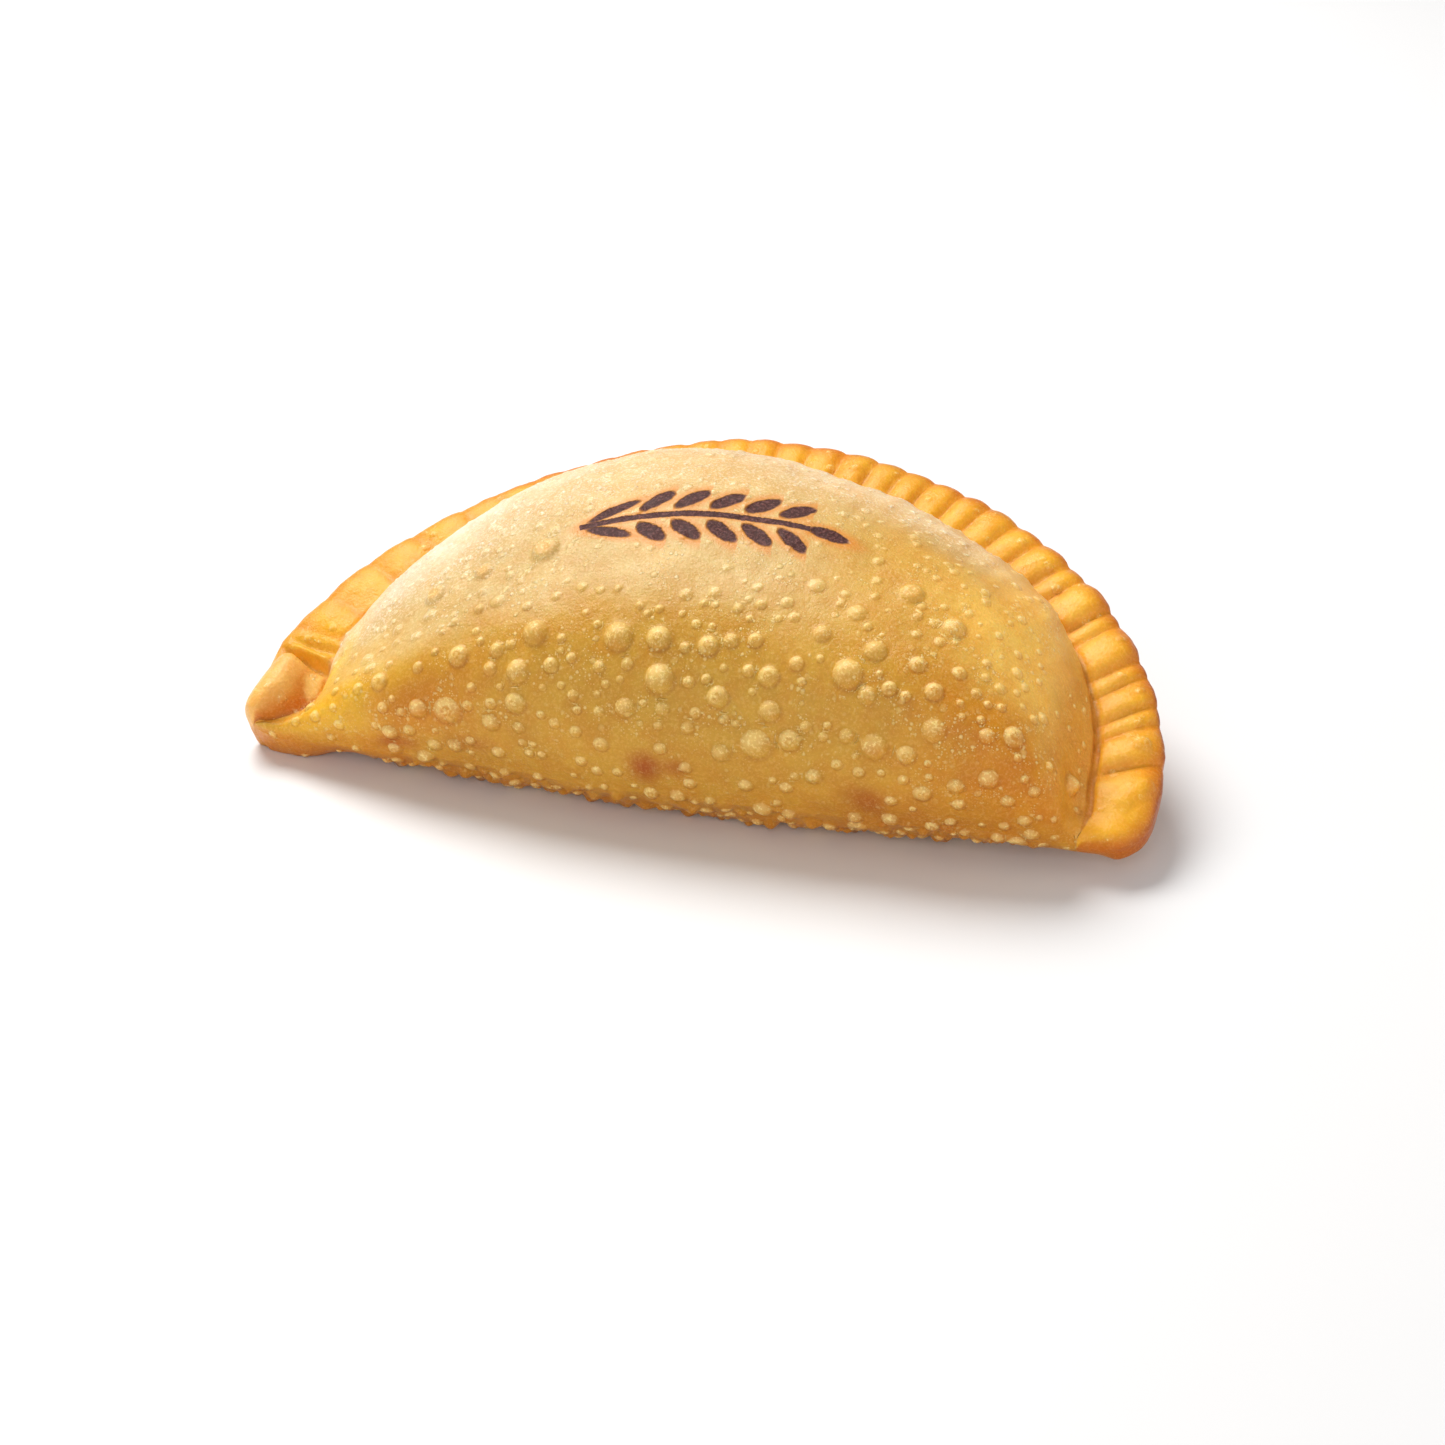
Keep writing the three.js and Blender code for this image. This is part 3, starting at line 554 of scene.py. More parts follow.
# from the nearest bead's middle, in its radii; how far that is, the bead's paleness, its radius
off = np.zeros((len(flat_p), 3))
bead = np.tile([2.0, 0.0, 1.0], (len(flat_p), 1))
shades = np.random.default_rng(SHADE_SEED).random(len(blisters))
for (p, r, look), shade in zip(blisters, shades):
    k = np.array([g[1] for g in tree.find_range(p, max(r * 1.6, r + 0.5))], int)
    if not len(k):
        continue
    rho = np.linalg.norm(flat_p[k] - p, axis=1) / r
    raised[k] = np.maximum(raised[k], HEIGHTS[look] * r * profile(np.minimum(rho, 1), look))
    if look != "knob":
        closer = rho < bead[k, 0]
        off[k[closer]] = (flat_p[k[closer]] - p) / r
        pale = shade if look != "ring" else 0.0
        bead[k[closer]] = np.stack([rho[closer], np.full(closer.sum(), pale), np.full(closer.sum(), r)], 1)
# the welt: distance from the line between its ends
w0, w1 = (lift(*rim(frame_at(d), r, True)) for d, r in RIM_WELT["ends"])
share = np.clip((flat_p - w0) @ (w1 - w0) / ((w1 - w0) @ (w1 - w0)), 0, 1)
rho = np.linalg.norm(flat_p - w0 - share[:, None] * (w1 - w0), axis=1) / RIM_WELT["radius"]
welt = RIM_WELT["high"] * RIM_WELT["radius"] * bump(np.minimum(rho, 1), 2.0) ** 0.8
raised = np.maximum(raised, welt).reshape(P.shape[:2])

# ------------------------------------------------------------ relief
# waves of the skin: size, height, seed
BODY_WAVES = ((11.0, 0.35, 1), (5.0, 0.16, 2))
RIM_WAVES = ((4.0, 0.22, 6),)
KNOB_WAVES = ((2.4, 0.42, 8), (1.3, 0.25, 9))
FINE_WAVES = ((1.1, 0.045, 3), (0.6, 0.03, 4))
TOP_DOWN, FLANK_DOWN, EDGE_DOWN = 0.15, 0.25, 0.14      # the top, the dome's face and the rim's edge sink
SHOULDER_WAVES = 1.3                  # how much more the dome's edge wobbles at the right
# the corner in that edge: x, share of the way round, half sizes, height
SHOULDER_CORNER = dict(x=46.2, t=0.84, wide=1.9, long=0.10, high=0.95)
EDGE_LINE, EDGE_LINE_HALF = 0.35, 0.02     # the join of the rim's two layers: depth, share of the rim
# softened places: reach, size of the blur; how many times, or at which distances along the rim
PINCH_SOFT, PINCH_STEPS = dict(reach=6.0, size=1.2), 3
EAR_SOFT, EAR_PLACES = dict(reach=1.6, size=0.45), range(-3, 5)
EAR_STEPS, EAR_ROWS = 12, 6           # smoothing across the ear's crease: times, rows on each side


def waves(parts):
    """Smooth noise over the grid, of all these sizes."""
    return sum(high * noise(P, size, seed) for size, high, seed in parts)


free = np.clip(np.minimum(D - START, TOTAL - D) / 6.0, 0, 1)       # 0 at the grid's ends
swell = waves(BODY_WAVES) - TOP_DOWN * top_side
shoulder = smooth(20, 40, X) * smooth(0.45, 0.65, T) * smooth(0.98, 0.85, T)
swell = swell * (1 + SHOULDER_WAVES * shoulder) - FLANK_DOWN * smooth(0.35, 0.55, T) * smooth(0.9, 0.7, T)
swell = swell + SHOULDER_CORNER["high"] * np.exp(
    -((X - SHOULDER_CORNER["x"]) / SHOULDER_CORNER["wide"]) ** 2
    - ((T - SHOULDER_CORNER["t"]) / SHOULDER_CORNER["long"]) ** 2)
rim_swell = waves(RIM_WAVES) - EDGE_DOWN * smooth(0.5, 1.0, R)
relief = free * (swell * on_body + rim_swell * on_rim) + waves(FINE_WAVES) * free + raised
# the belly's front, knobbly where it turns under
knobs = smooth(-0.46, -0.3, T) * smooth(0.06, -0.1, T) * on_body * smooth(-52, -30, X) * smooth(60, 52, X)
relief = relief + knobs * waves(KNOB_WAVES)
# rim: the pressed edge shows the join of the two layers
edge_line = np.exp(-((1 - R) / EDGE_LINE_HALF) ** 2) * on_rim * smooth(TOTAL * 0.55, TOTAL * 0.75, D)
P2 = P + NORMAL * (relief - EDGE_LINE * edge_line)[..., None]
# the ear's crease is soft
crease_row = ROW_T.index(1.0)
near = slice(crease_row - EAR_ROWS, crease_row + EAR_ROWS + 1)
soft = smooth(9, 6, COLUMN_AT)[:, None, None]
for step in range(EAR_STEPS):
    band = P2[:, near.start - 1:near.stop + 1]
    P2[:, near] += soft * 0.5 * ((band[:, :-2] + band[:, 2:]) / 2 - band[:, 1:-1])


def soften(points, middle, reach, size):
    """Each point near a middle, moved to the mean of the surface around it."""
    area = cell_areas(points).ravel()
    flat = points.reshape(-1, 3).copy()
    far = np.linalg.norm(flat - middle, axis=1)
    around = np.flatnonzero(far < reach + 2.5 * size)
    moved = flat.copy()
    for k in np.flatnonzero(far < reach):
        gap = ((flat[around] - flat[k]) ** 2).sum(1)
        weight = np.exp(-gap / (2 * size ** 2)) * area[around]
        mean = weight @ flat[around] / weight.sum()
        moved[k] += (mean - flat[k]) * smooth(reach, 0.5 * reach, far[k])
    return moved.reshape(points.shape)


# the right end's pinch, and along the ear's crease
for step in range(PINCH_STEPS):
    P2 = soften(P2, P[-1, 0], **PINCH_SOFT)
for d in EAR_PLACES:
    P2 = soften(P2, P2[np.abs(COLUMN_AT - d).argmin(), crease_row], **EAR_SOFT)
P2[..., 2] = np.maximum(P2[..., 2], 0)


# ------------------------------------------------------------ colour
def srgb(r, g, b):
    """Linear colour, from values of 0 to 255."""
    c = np.array([r, g, b]) / 255.0
    return np.where(c <= 0.04045, c / 12.92, ((c + 0.055) / 1.055) ** 2.4)


def mix(a, b, t):
    """a where t is 0, b where it is 1."""
    t = np.clip(t, 0, 1)[..., None]
    return a * (1 - t) + b * t


def blob(x, t, rx, rt, hard=1.0):
    """1 at a place of the body, fading out over these sizes."""
    return np.exp(-(((X - x) / rx) ** 2 + ((T - t) / rt) ** 2) ** hard) * on_body


def painted(tone, layers):
    """Layers laid over a tone: each has a colour and how much of it covers what lies below."""
    tone = np.broadcast_to(tone, P.shape)
    for colour, cover in layers:
        tone = mix(tone, srgb(*colour), cover)
    return tone


# uneven browning, from slow to fine
n1, n2, n3 = noise(P, 16.0, 21), noise(P, 7.0, 22), noise(P, 2.6, 23)
body_tone = painted(srgb(208, 155, 48), (
    # paler over the fold, the pale upper dome, palest at its left: partly the dough's own colour, partly a
    # painted highlight where the light from the upper left falls
    ((216, 182, 112), smooth(0.36, 0.52, T + 0.05 * n2)),
    ((242, 206, 150), smooth(0.60, 0.80, T + 0.03 * n1)),
    ((250, 230, 200), blob(-37, 0.80, 15, 0.15)),
    # honey at the upper right, olive in front
    ((214, 162, 52), 0.85 * smooth(10, 28, X) * smooth(0.76, 0.62, T) * on_body),
    ((204, 157, 54), 0.7 * blob(8, 0.27, 22, 0.13)),
    # the left: yellow, amber in front, the bright wall beside the ear
    ((255, 200, 40), 0.85 * blob(-48, 0.28, 8, 0.24)),
    ((212, 132, 4), 0.85 * blob(-34, 0.21, 8, 0.12)),
    ((248, 208, 76), 0.8 * blob(-50.5, 0.64, 3, 0.16)),
    # the right: its orange end, its flank, the yellow place on it (a painted highlight), its browner edge,
    # brown low down
    ((208, 130, 0), 0.97 * blob(48, 0.28, 15, 0.34)),
    ((252, 194, 80), 0.85 * smooth(0.52, 0.64, T) * smooth(34, 44, X) * on_body),
    ((254, 206, 98), 0.85 * blob(41, 0.58, 9, 0.08)),
    ((224, 152, 38), 0.85 * smooth(48.5, 53.0, X) * smooth(0.3, 0.5, T) * on_body),
    ((190, 116, 18), 0.75 * blob(34, 0.0, 15, 0.08)),
    # the shoulder's edge, and painted shade in the crease there
    ((232, 172, 76), 0.6 * smooth(0.76, 0.88, T) * smooth(18, 34, X) * on_body),
    ((204, 126, 20), 0.6 * smooth(0.965, 0.995, T) * smooth(110, 140, D) * on_body),
    # the lip before the ear, the crease at the ear and on the left
    ((232, 166, 44), 0.95 * smooth(8, 4, D) * smooth(0.42, 0.56, T) * on_body),
    ((222, 148, 26), 0.7 * smooth(0.90, 0.98, T) * smooth(14, 10, D) * on_body),
    ((238, 180, 70), 0.75 * smooth(0.88, 1.0, T) * smooth(12, 18, D) * smooth(80, 50, D) * on_body),
    # browner low on the left and under the fold
    ((212, 138, 20), 0.6 * smooth(-32, -40, X) * smooth(0.16, 0.04, T) * on_body),
    ((194, 116, 14), 0.75 * smooth(0.07, -0.14, T) * on_body),
))
left_rim = smooth(60, 35, D)
rim_tone = painted(srgb(246, 180, 42), (
    ((240, 182, 40), left_rim),
    # painted shade in the crease at the right
    ((206, 128, 20), 0.7 * smooth(0.06, 0.01, R) * smooth(110, 140, D)),
    # browned towards the edge, less on the left
    ((210, 116, 12), smooth(0.60, 1.0, R + 0.10 * n2) * (1 - 0.5 * left_rim)),
    # the last lobes: paler on top, a dark edge
    ((252, 202, 88), 0.5 * smooth(196, 188, D) * bump((R - 0.32) / 0.3) * smooth(120, 150, D)),
    ((158, 72, 8), 0.85 * (smooth(0.88, 0.97, R) * smooth(140, 165, D) * smooth(200, 192, D))),
    # underneath
    ((196, 110, 22), (~top_side) * 0.7),
))
groove_shade = smooth(0.5, 1.0, np.abs(F["lobe_u"]))[:, None] * (D > LOBES[0, 0])
ear_side = on_rim * top_side * smooth(9, 5, D)
valley = np.exp(-((X - EAR_VALLEY["x"]) / 0.8) ** 2) * bump((W - EAR_VALLEY["w"]) / 4.0)
tone = painted(np.where(on_rim[..., None], rim_tone, body_tone), (
    # painted shade in the grooves between the lobes
    ((234, 146, 12), 0.5 * on_rim * groove_shade * top_side),
    # the ear: tan, painted shade in its valley and in the band along its crease, orange-brown, its facet
    # cream
    ((250, 192, 108), ear_side * 0.8),
    ((216, 132, 22), 0.85 * ear_side * valley),
    ((208, 118, 6), ear_side * smooth(4.5, 1.5, D) * smooth(0.40, 0.08, R)),
    ((254, 216, 124), 0.8 * ear_side * bump(np.hypot((X + 52.7) / 1.3, (W - 1.8) / 2.8)) ** 0.5),
    # painted shade on the body's side of that crease; the front of the tip and its underside
    ((186, 98, 10), 0.85 * smooth(0.76, 0.92, T) * smooth(3.0, 1.0, D) * on_body),
    ((236, 156, 34), 0.5 * smooth(-50, -57, X) * smooth(0.4, 0.0, T) * on_body),
    ((206, 118, 20), 0.6 * smooth(-40, -52, X) * smooth(0.02, -0.2, T) * on_body),
))
# brown spots: x, share of the way round, sizes, strength
SPOTS = (
    (-1.5, 0.065, 2.4, 0.040, 0.95), (2.6, 0.075, 1.6, 0.024, 0.6), (28.0, 0.055, 2.6, 0.038, 0.75),
    (-37.5, 0.05, 3.2, 0.034, 0.7), (-26.5, 0.065, 3.6, 0.032, 0.45),
)
tone = painted(tone, [((172, 84, 0), how * blob(*spot, 1.4)) for *spot, how in SPOTS])
# the thin skin of some blisters lets the amber dough show
for p, r, look in blisters:
    if look == "ring":
        inside = bump(np.minimum(np.linalg.norm(P - p, axis=-1) / (0.8 * r), 1)) * on_body
        tone = painted(tone, [((214, 146, 44), 0.75 * inside)])
tone = tone * (1 + 0.05 * n1 + 0.045 * n2 + 0.05 * n3)[..., None]
tone = np.clip(tone, 0.003, 0.95)

# the burnt ornament's own plane: a middle on the dome, u along the length, v up the slope
MARK = (0.5, 0.57)
mark_at, mark_n = surface_at(place(*MARK), MARK[1])
mark_u = np.cross([0, 0, 1.0], mark_n)
mark_u = mark_u / np.linalg.norm(mark_u) * np.sign(mark_u[0])
mark_v = np.cross(mark_n, mark_u)
rel = P - mark_at
mark = np.stack([rel @ mark_u, rel @ mark_v, np.where(top_side & on_body, 1.0, 0.0)], -1)

# ------------------------------------------------------------ the mesh
idx = np.arange(P2.shape[0] * N_ROWS).reshape(P2.shape[0], N_ROWS)
a, b = idx[:-1], idx[1:]
quads = np.stack([a, b, np.roll(b, -1, 1), np.roll(a, -1, 1)], -1).reshape(-1, 4)


def end_cap(row, flip):
    """Closes an end by a ladder between the top's points and the underside's."""
    faces, low, high = [], 0, N_ROWS
    ring = row.tolist() + [row[0]]
    while high - low > 2:
        faces.append([ring[low], ring[low + 1], ring[high]])
        faces.append([ring[low + 1], ring[high - 1], ring[high]])
        low += 1; high -= 1
    if high - low == 2:
        faces.append([ring[low], ring[low + 1], ring[high]])
    faces = [f for f in faces if len(set(f)) == 3]
    return [f[::-1] if flip else f for f in faces]


faces = quads.tolist() + end_cap(idx[0], False) + end_cap(idx[-1], True)
mesh = bpy.data.meshes.new("crust_fried")
mesh.from_pydata((P2.reshape(-1, 3) / 1000).tolist(), [], faces)
mesh.update()


def store(name, kind, field, values):
    """A value for each point of the mesh, for the material."""
    data = mesh.attributes.new(name, kind, "POINT").data
    data.foreach_set(field, values.astype(np.float32).ravel())


# how thickly the tiny bubbles stand
tiny = on_body * (0.75 + 0.25 * smooth(0.7, 0.35, T)) * (0.35 + 0.65 * smooth(0.06, 0.22, T))
tiny = tiny * smooth(-0.5, -0.3, T) * (1 - 0.6 * smooth(46, 52, X) * smooth(0.5, 0.6, T))
bead[:, 1] = np.where(on_rim, 0.2, 1.0).ravel() * (0.5 + 0.5 * bead[:, 1])
store("tone", "FLOAT_COLOR", "color", np.concatenate([tone, np.ones(tone.shape[:2] + (1,))], -1))
store("mark", "FLOAT_VECTOR", "vector", mark)
store("bead", "FLOAT_VECTOR", "vector", bead)
store("off", "FLOAT_VECTOR", "vector", off)
store("tiny", "FLOAT", "value", np.where(on_rim, 0.15, tiny))

MERGE = 2e-6                          # points closer than this, in metres, become one
work = bmesh.new()
work.from_mesh(mesh)
bmesh.ops.remove_doubles(work, verts=work.verts, dist=MERGE)
bmesh.ops.recalc_face_normals(work, faces=work.faces)
work.to_mesh(mesh)
open_edges = sum(not e.is_manifold for e in work.edges)
total_faces = sum(len(f.verts) - 2 for f in work.faces)
work.free()
crust = bpy.data.objects.new("crust_fried", mesh)
bpy.context.scene.collection.objects.link(crust)

mesh.polygons.foreach_set("use_smooth", [True] * len(mesh.polygons))
print("crust", total_faces, "open", open_edges, "blisters", len(blisters))


# ------------------------------------------------------------ the material
class Nodes:
    """Short names for building a node tree."""

    def __init__(self, name):
        self.material = bpy.data.materials.new(name)
        self.material.use_nodes = True
        self.tree = self.material.node_tree
        self.tree.nodes.clear()

    def add(self, kind, inputs=None, **settings):
        node = self.tree.nodes.new(kind)
        for key, value in settings.items():
            setattr(node, key, value)
        for key, value in (inputs or {}).items():
            self.put(node.inputs[key], value)
        return node

    def put(self, socket, value):
        if isinstance(value, bpy.types.NodeSocket):
            self.tree.links.new(value, socket)
        else:
            socket.default_value = value

    def math(self, operation, a, b=0.0, c=0.0, clamp=False):
        node = self.add("ShaderNodeMath", operation=operation, use_clamp=clamp)
        for socket, value in zip(node.inputs, (a, b, c)):
            self.put(socket, value)
        return node.outputs[0]

    def times(self, *values):
        """The product of the values."""
        product = values[0]
        for value in values[1:]:
            product = self.math("MULTIPLY", product, value)
        return product

    def plus(self, *values):
        """Their sum."""
        total = values[0]
        for value in values[1:]:
            total = self.math("ADD", total, value)
        return total

    def apart(self, a, b):
        """How far one value is from another."""
        return self.math("ABSOLUTE", self.math("SUBTRACT", a, b))

    def cap(self, rho):
        """Height of a round cap, by the share of its radius."""
        return self.math("SQRT", self.math("SUBTRACT", 1.0, self.times(rho, rho), clamp=True))

    def attribute(self, name, kind="Vector"):
        return self.add("ShaderNodeAttribute", attribute_name=name).outputs[kind]

    def ramp(self, value, low, high, out_low=0.0, out_high=1.0, kind="SMOOTHSTEP"):
        """From one output to the other, as the value goes from low to high."""
        node = self.add("ShaderNodeMapRange", interpolation_type=kind)
        for socket, v in zip(node.inputs, (value, low, high, out_low, out_high)):
            self.put(socket, v)
        return node.outputs[0]

    def blend(self, factor, a, b, how="MIX"):
        """Colour b laid over colour a."""
        node = self.add("ShaderNodeMix", data_type="RGBA", blend_type=how)
        self.put(node.inputs[0], factor)
        self.put(node.inputs[6], a)
        self.put(node.inputs[7], b)
        return node.outputs[2]


def linear(r, g, b):
    """A node's colour, from values of 0 to 255."""
    return tuple(float(v) for v in srgb(r, g, b)) + (1.0,)


n = Nodes("fried_dough")
where = n.add("ShaderNodeTexCoord").outputs["Object"]
tone_node = n.attribute("tone", "Color")
tiny_node = n.attribute("tiny", "Fac")


def speckle(scale, detail, roughness):
    """Noise through the dough; the scale is in lumps to a metre."""
    inputs = {"Vector": where, "Scale": scale, "Detail": detail, "Roughness": roughness}
    return n.add("ShaderNodeTexNoise", inputs).outputs["Fac"]


# each bead's dome, rounder than the mesh shows it, and its side to the light
TO_LIGHT = (-0.45, 0.30, 0.84)
off_node = n.attribute("off")
bead_far, bead_pale, bead_radius = n.add("ShaderNodeSeparateXYZ", {0: n.attribute("bead")}).outputs
on_bead = n.ramp(bead_far, 1.25, 1.5, 1.0, 0.0)
bead_rho = n.add("ShaderNodeVectorMath", {0: off_node}, operation="LENGTH").outputs["Value"]
dome = n.times(on_bead, n.cap(bead_rho))
lit = n.add("ShaderNodeVectorMath", {0: off_node, 1: TO_LIGHT}, operation="DOT_PRODUCT").outputs["Value"]

# small bubbles come in clusters
clusters = n.ramp(speckle(190.0, 2.0, 0.5), 0.44, 0.60, 0.2, 1.0)


def bubbles(scale, least, small, large):
    """Round caps, one in each cell whose chance is over the least: how much they show, their height."""
    cells = n.add("ShaderNodeTexVoronoi", {"Vector": where, "Scale": scale, "Randomness": 1.0}, feature="F1")
    chance = n.add("ShaderNodeSeparateColor", {0: cells.outputs["Color"]}).outputs[0]
    radius = n.ramp(chance, least, 1.0, small, large, "LINEAR")
    cap = n.cap(n.math("DIVIDE", cells.outputs["Distance"], radius))
    shown = n.times(cap, n.times(tiny_node, clusters, n.math("GREATER_THAN", chance, least)))
    return shown, n.times(shown, radius)


speck, speck_high = bubbles(scale=1250.0, least=0.45, small=0.10, large=0.42)
pearl, pearl_high = bubbles(scale=560.0, least=0.50, small=0.10, large=0.32)
dust, dust_high = bubbles(scale=2900.0, least=0.40, small=0.15, large=0.45)

grain = speckle(2600.0, 4.0, 0.65)
coarse = speckle(650.0, 3.0, 0.55)
mottle = speckle(300.0, 5.0, 0.6)

# the burnt ornament, in millimetres: an ear of grain, its grains repeated along a stem
PITCH = 4.8                           # from one grain to the next
STEM_UP, STEM_BOW, STEM_HALF = 0.7, 0.006, 0.55      # above the plane's middle, its bow, half its thickness
# where the grains and the stem run: middle, half length, soft end
GRAINS_RUN, STEM_RUN = (2.4, 11.9, 0.05), (-1.6, 15.6, 0.2)
GRAIN = dict(cu=0.0, cv=3.1, long=2.85, wide=1.2, turn=40)
LAST_GRAIN = dict(cu=16.6, cv=0.0, long=2.8, wide=1.2, turn=0)
LEAF = dict(cu=-13.0, cv=2.1, long=3.6, wide=0.85, turn=24)
OUTSIDE = 9.0                         # on the scale where an edge is 1
mark_along, mark_up, mark_on = n.add("ShaderNodeSeparateXYZ", {0: n.attribute("mark")}).outputs
u = n.plus(mark_along, n.times(n.math("SUBTRACT", coarse, 0.5), 0.9))
v = n.plus(mark_up, n.times(n.math("SUBTRACT", grain, 0.5), 0.5))
v = n.plus(n.math("SUBTRACT", v, STEM_UP), n.times(u, u, STEM_BOW))
side = n.math("ABSOLUTE", v)


def oval(u, v, cu, cv, long, wide, turn):
    """0 at the middle, 1 on the edge of a turned oval."""
    c, s = cos(radians(turn)), sin(radians(turn))
    du, dv = n.math("SUBTRACT", u, cu), n.math("SUBTRACT", v, cv)
    p = n.plus(n.times(du, c / long), n.times(dv, s / long))
    q = n.plus(n.times(du, -s / wide), n.times(dv, c / wide))
    return n.math("SQRT", n.plus(n.times(p, p), n.times(q, q)))


def past(middle, half, soft):
    """0 on a run along the stem, far outside past its ends."""
    return n.ramp(n.apart(u, middle), half, half + soft, 0.0, OUTSIDE, "LINEAR")


cell_u = n.math("SUBTRACT", n.math("FLOORED_MODULO", n.plus(u, 40 * PITCH), PITCH), PITCH / 2)
grains = n.plus(oval(cell_u, side, **GRAIN), past(*GRAINS_RUN))
stem = n.plus(n.math("DIVIDE", side, STEM_HALF), past(*STEM_RUN))
shape = n.math("MINIMUM", n.math("MINIMUM", grains, oval(u, v, **LAST_GRAIN)),
               n.math("MINIMUM", stem, oval(u, side, **LEAF)))
on_top = n.times(mark_on, n.ramp(n.math("ABSOLUTE", mark_up), 8.0, 9.0, 1.0, 0.0))
burnt = n.times(n.ramp(shape, 0.86, 1.1, 1.0, 0.0), on_top)
toast = n.times(n.ramp(shape, 1.0, 2.3, 0.8, 0.0), on_top)

# painted glints are whiter on the pale dough
tone_blue = n.add("ShaderNodeSeparateColor", {0: tone_node}).outputs[2]
paleness = n.ramp(tone_blue, 0.03, 0.30)
GLINT = n.blend(paleness, linear(255, 226, 150), linear(255, 248, 226))
BEAD_AND_HIGHLIGHT = n.blend(paleness, linear(255, 222, 140), linear(255, 238, 194))
colour = n.blend(n.ramp(mottle, 0.3, 0.7, 0.0, 0.5), tone_node, linear(240, 206, 140), "MULTIPLY")
contrast = n.ramp(grain, 0.34, 0.68, 0.94, 1.05, "LINEAR")
colour = n.add("ShaderNodeVectorMath", {0: colour, "Scale": contrast}, operation="SCALE").outputs[0]
# beads: paler dough, with a painted highlight on the side to the light; some have a ring inside, and a
# painted shadow at the foot on the side away from the light
bead_pale_and_highlight = n.times(dome, bead_pale, n.ramp(lit, -0.6, 0.7, 0.12, 0.92))
ring = n.ramp(n.apart(bead_rho, 0.28), 0.0, 0.26, 1.0, 0.0)
ring = n.times(ring, n.ramp(bead_pale, 0.78, 0.84, 0.0, 0.75))
bead_pale_and_highlight = n.times(bead_pale_and_highlight, n.math("SUBTRACT", 1.0, ring))
colour = n.blend(bead_pale_and_highlight, colour, BEAD_AND_HIGHLIGHT)
foot = n.times(on_bead, n.ramp(n.apart(bead_rho, 1.08), 0.0, 0.3, 1.0, 0.0))
foot = n.times(foot, bead_pale, n.ramp(lit, 0.2, -0.8, 0.0, 0.5))
colour = n.blend(foot, colour, linear(214, 178, 116), "MULTIPLY")
# painted glints over the grain: most on the lit side of the beads
glint_amount = n.plus(n.ramp(paleness, 0.2, 1.0, 0.09, 0.38), n.times(dome, n.ramp(lit, -0.6, 0.6, 0.15, 0.85)))
colour = n.blend(n.times(n.ramp(grain, 0.52, 0.60), glint_amount), colour, GLINT)
# the small bubbles' caps are painted pale: the pearls in the bead colour with its painted highlight, the
# specks and dust as painted glints
for bubble, strength, light in ((pearl, 0.34, BEAD_AND_HIGHLIGHT), (speck, 0.66, GLINT), (dust, 0.66, GLINT)):
    colour = n.blend(n.math("MULTIPLY", bubble, strength, clamp=True), colour, light)
# the ornament: toasted round it, charred in it
colour = n.blend(toast, colour, linear(222, 140, 52))
colour = n.blend(burnt, colour, n.blend(n.ramp(grain, 0.45, 0.7), linear(66, 26, 20), linear(120, 74, 70)))

# the fine relief: its parts and how high each is
fine_relief = (
    (grain, 0.6), (coarse, 0.5), (dust_high, 1.2), (speck_high, 2.6), (pearl_high, 4.5),
    (n.times(dome, dome, bead_radius), 0.8), (burnt, -1.2),
)
height = n.plus(*[n.times(part, high) for part, high in fine_relief])
bumps = n.add("ShaderNodeBump", {"Strength": 0.8, "Distance": 0.00022, "Height": height})
rough = n.ramp(coarse, 0.3, 0.7, 0.28, 0.42, "LINEAR")
rough = n.math("ADD", rough, n.math("MULTIPLY", burnt, 0.3), clamp=True)
surface = n.add("ShaderNodeBsdfPrincipled", {
    "Base Color": colour, "Roughness": rough, "Normal": bumps.outputs[0],
    "IOR": 1.45, "Specular IOR Level": 0.36,
    "Subsurface Weight": 0.2, "Subsurface Radius": (1.0, 0.42, 0.16), "Subsurface Scale": 0.0009,
})
n.add("ShaderNodeOutputMaterial", {"Surface": surface.outputs[0]})
mesh.materials.append(n.material)

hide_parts("crust")
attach(crust, "root")

# ------------------------------------------------------------ floor, light, camera
floor_mesh = bpy.data.meshes.new("floor")
floor_mesh.from_pydata([(-4, -4, 0), (4, -4, 0), (4, 4, 0), (-4, 4, 0)], [], [(0, 1, 2, 3)])
floor = bpy.data.objects.new("floor", floor_mesh)
bpy.context.scene.collection.objects.link(floor)
plain = Nodes("floor_white")
paper = plain.add("ShaderNodeBsdfPrincipled", {"Base Color": (0.86, 0.86, 0.87, 1), "Roughness": 0.55})
plain.add("ShaderNodeOutputMaterial", {"Surface": paper.outputs[0]})
floor_mesh.materials.append(plain.material)


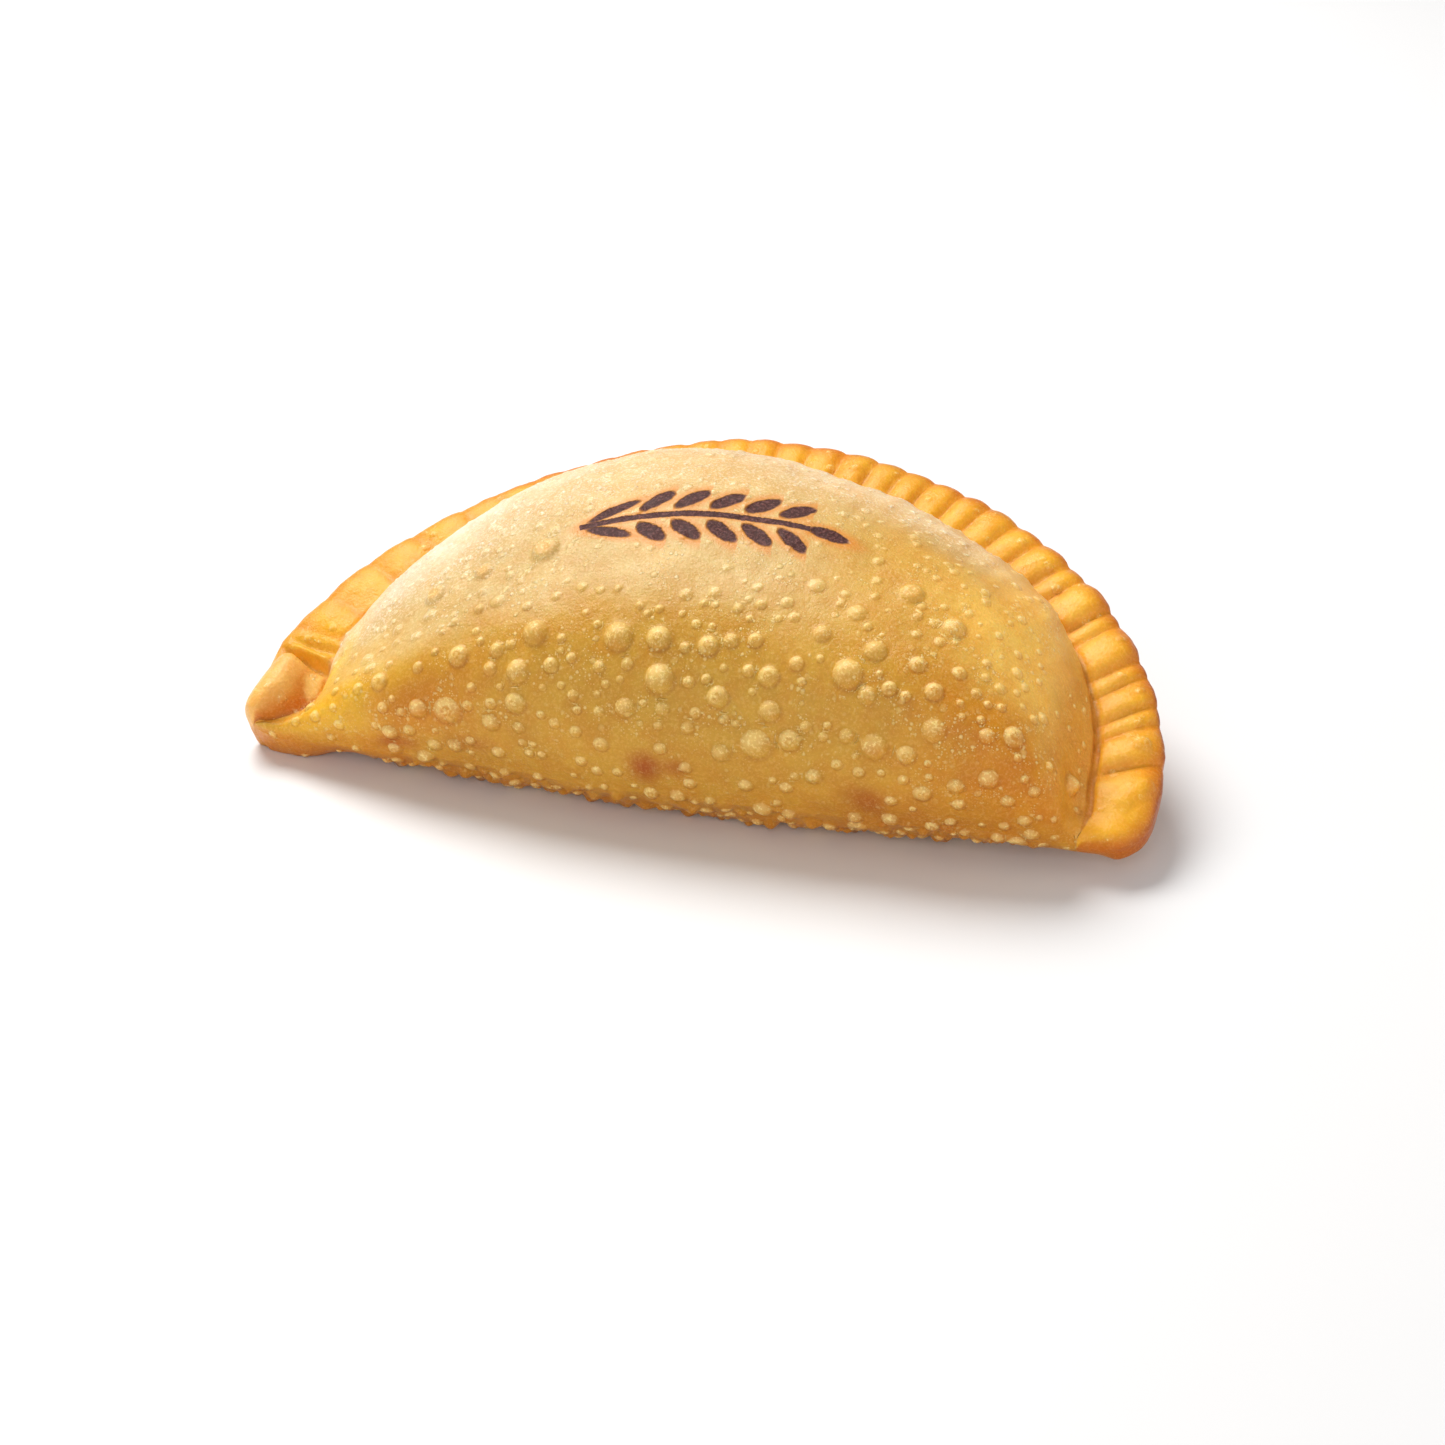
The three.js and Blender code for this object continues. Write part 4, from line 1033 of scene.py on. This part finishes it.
def area(name, place, target, size, power, colour=(1, 1, 1)):
    """A round studio light at a place, turned to its target."""
    light = bpy.data.lights.new(name, "AREA")
    light.shape, light.size, light.energy, light.color = "DISK", size, power, colour
    ob = bpy.data.objects.new(name, light)
    ob.location = place
    ob.rotation_mode = "QUATERNION"
    ob.rotation_quaternion = (Vector(target) - Vector(place)).to_track_quat("-Z", "Y")
    bpy.context.scene.collection.objects.link(ob)


# name, place and target in metres, diameter, watts, colour
area("key", (-0.30, 0.26, 0.60), (0, 0, 0.02), 0.46, 5.6, (1, 0.99, 0.97))
area("front", (0.15, -0.75, 0.38), (0, 0, 0.02), 0.7, 2.4)
area("right", (0.75, 0.02, 0.20), (0, 0, 0.02), 0.5, 1.2, (1, 0.92, 0.80))
area("left", (-0.60, -0.50, 0.16), (-0.04, 0, 0.02), 0.4, 0.6, (1, 0.94, 0.84))

world = bpy.data.worlds.new("studio")
bpy.context.scene.world = world
world.use_nodes = True
world.node_tree.nodes["Background"].inputs[0].default_value = (1, 1, 1, 1)
world.node_tree.nodes["Background"].inputs[1].default_value = 0.30
bpy.context.scene.view_settings.view_transform = "Standard"

# the camera: which way and how far off it stands, the point it looks at from the plane's own origin
AZIMUTH, ELEVATION, DISTANCE = radians(15), radians(30), 0.482
LENS, SENSOR = 85, 36
LOOK_AT = (0.0, 0.022, -0.001)
target = Vector((LOOK_AT[0] - ORIGIN[0] / 1000, LOOK_AT[1] - ORIGIN[1] / 1000, LOOK_AT[2]))
back = Vector((sin(AZIMUTH) * cos(ELEVATION), -cos(AZIMUTH) * cos(ELEVATION), sin(ELEVATION)))
lens = bpy.data.cameras.new("camera")
lens.lens, lens.sensor_width, lens.clip_start, lens.clip_end = LENS, SENSOR, 0.01, 20
camera = bpy.data.objects.new("camera", lens)
camera.location = target + back * DISTANCE
camera.rotation_mode = "QUATERNION"
camera.rotation_quaternion = (-back).to_track_quat("-Z", "Y")
bpy.context.scene.collection.objects.link(camera)
bpy.context.scene.camera = camera
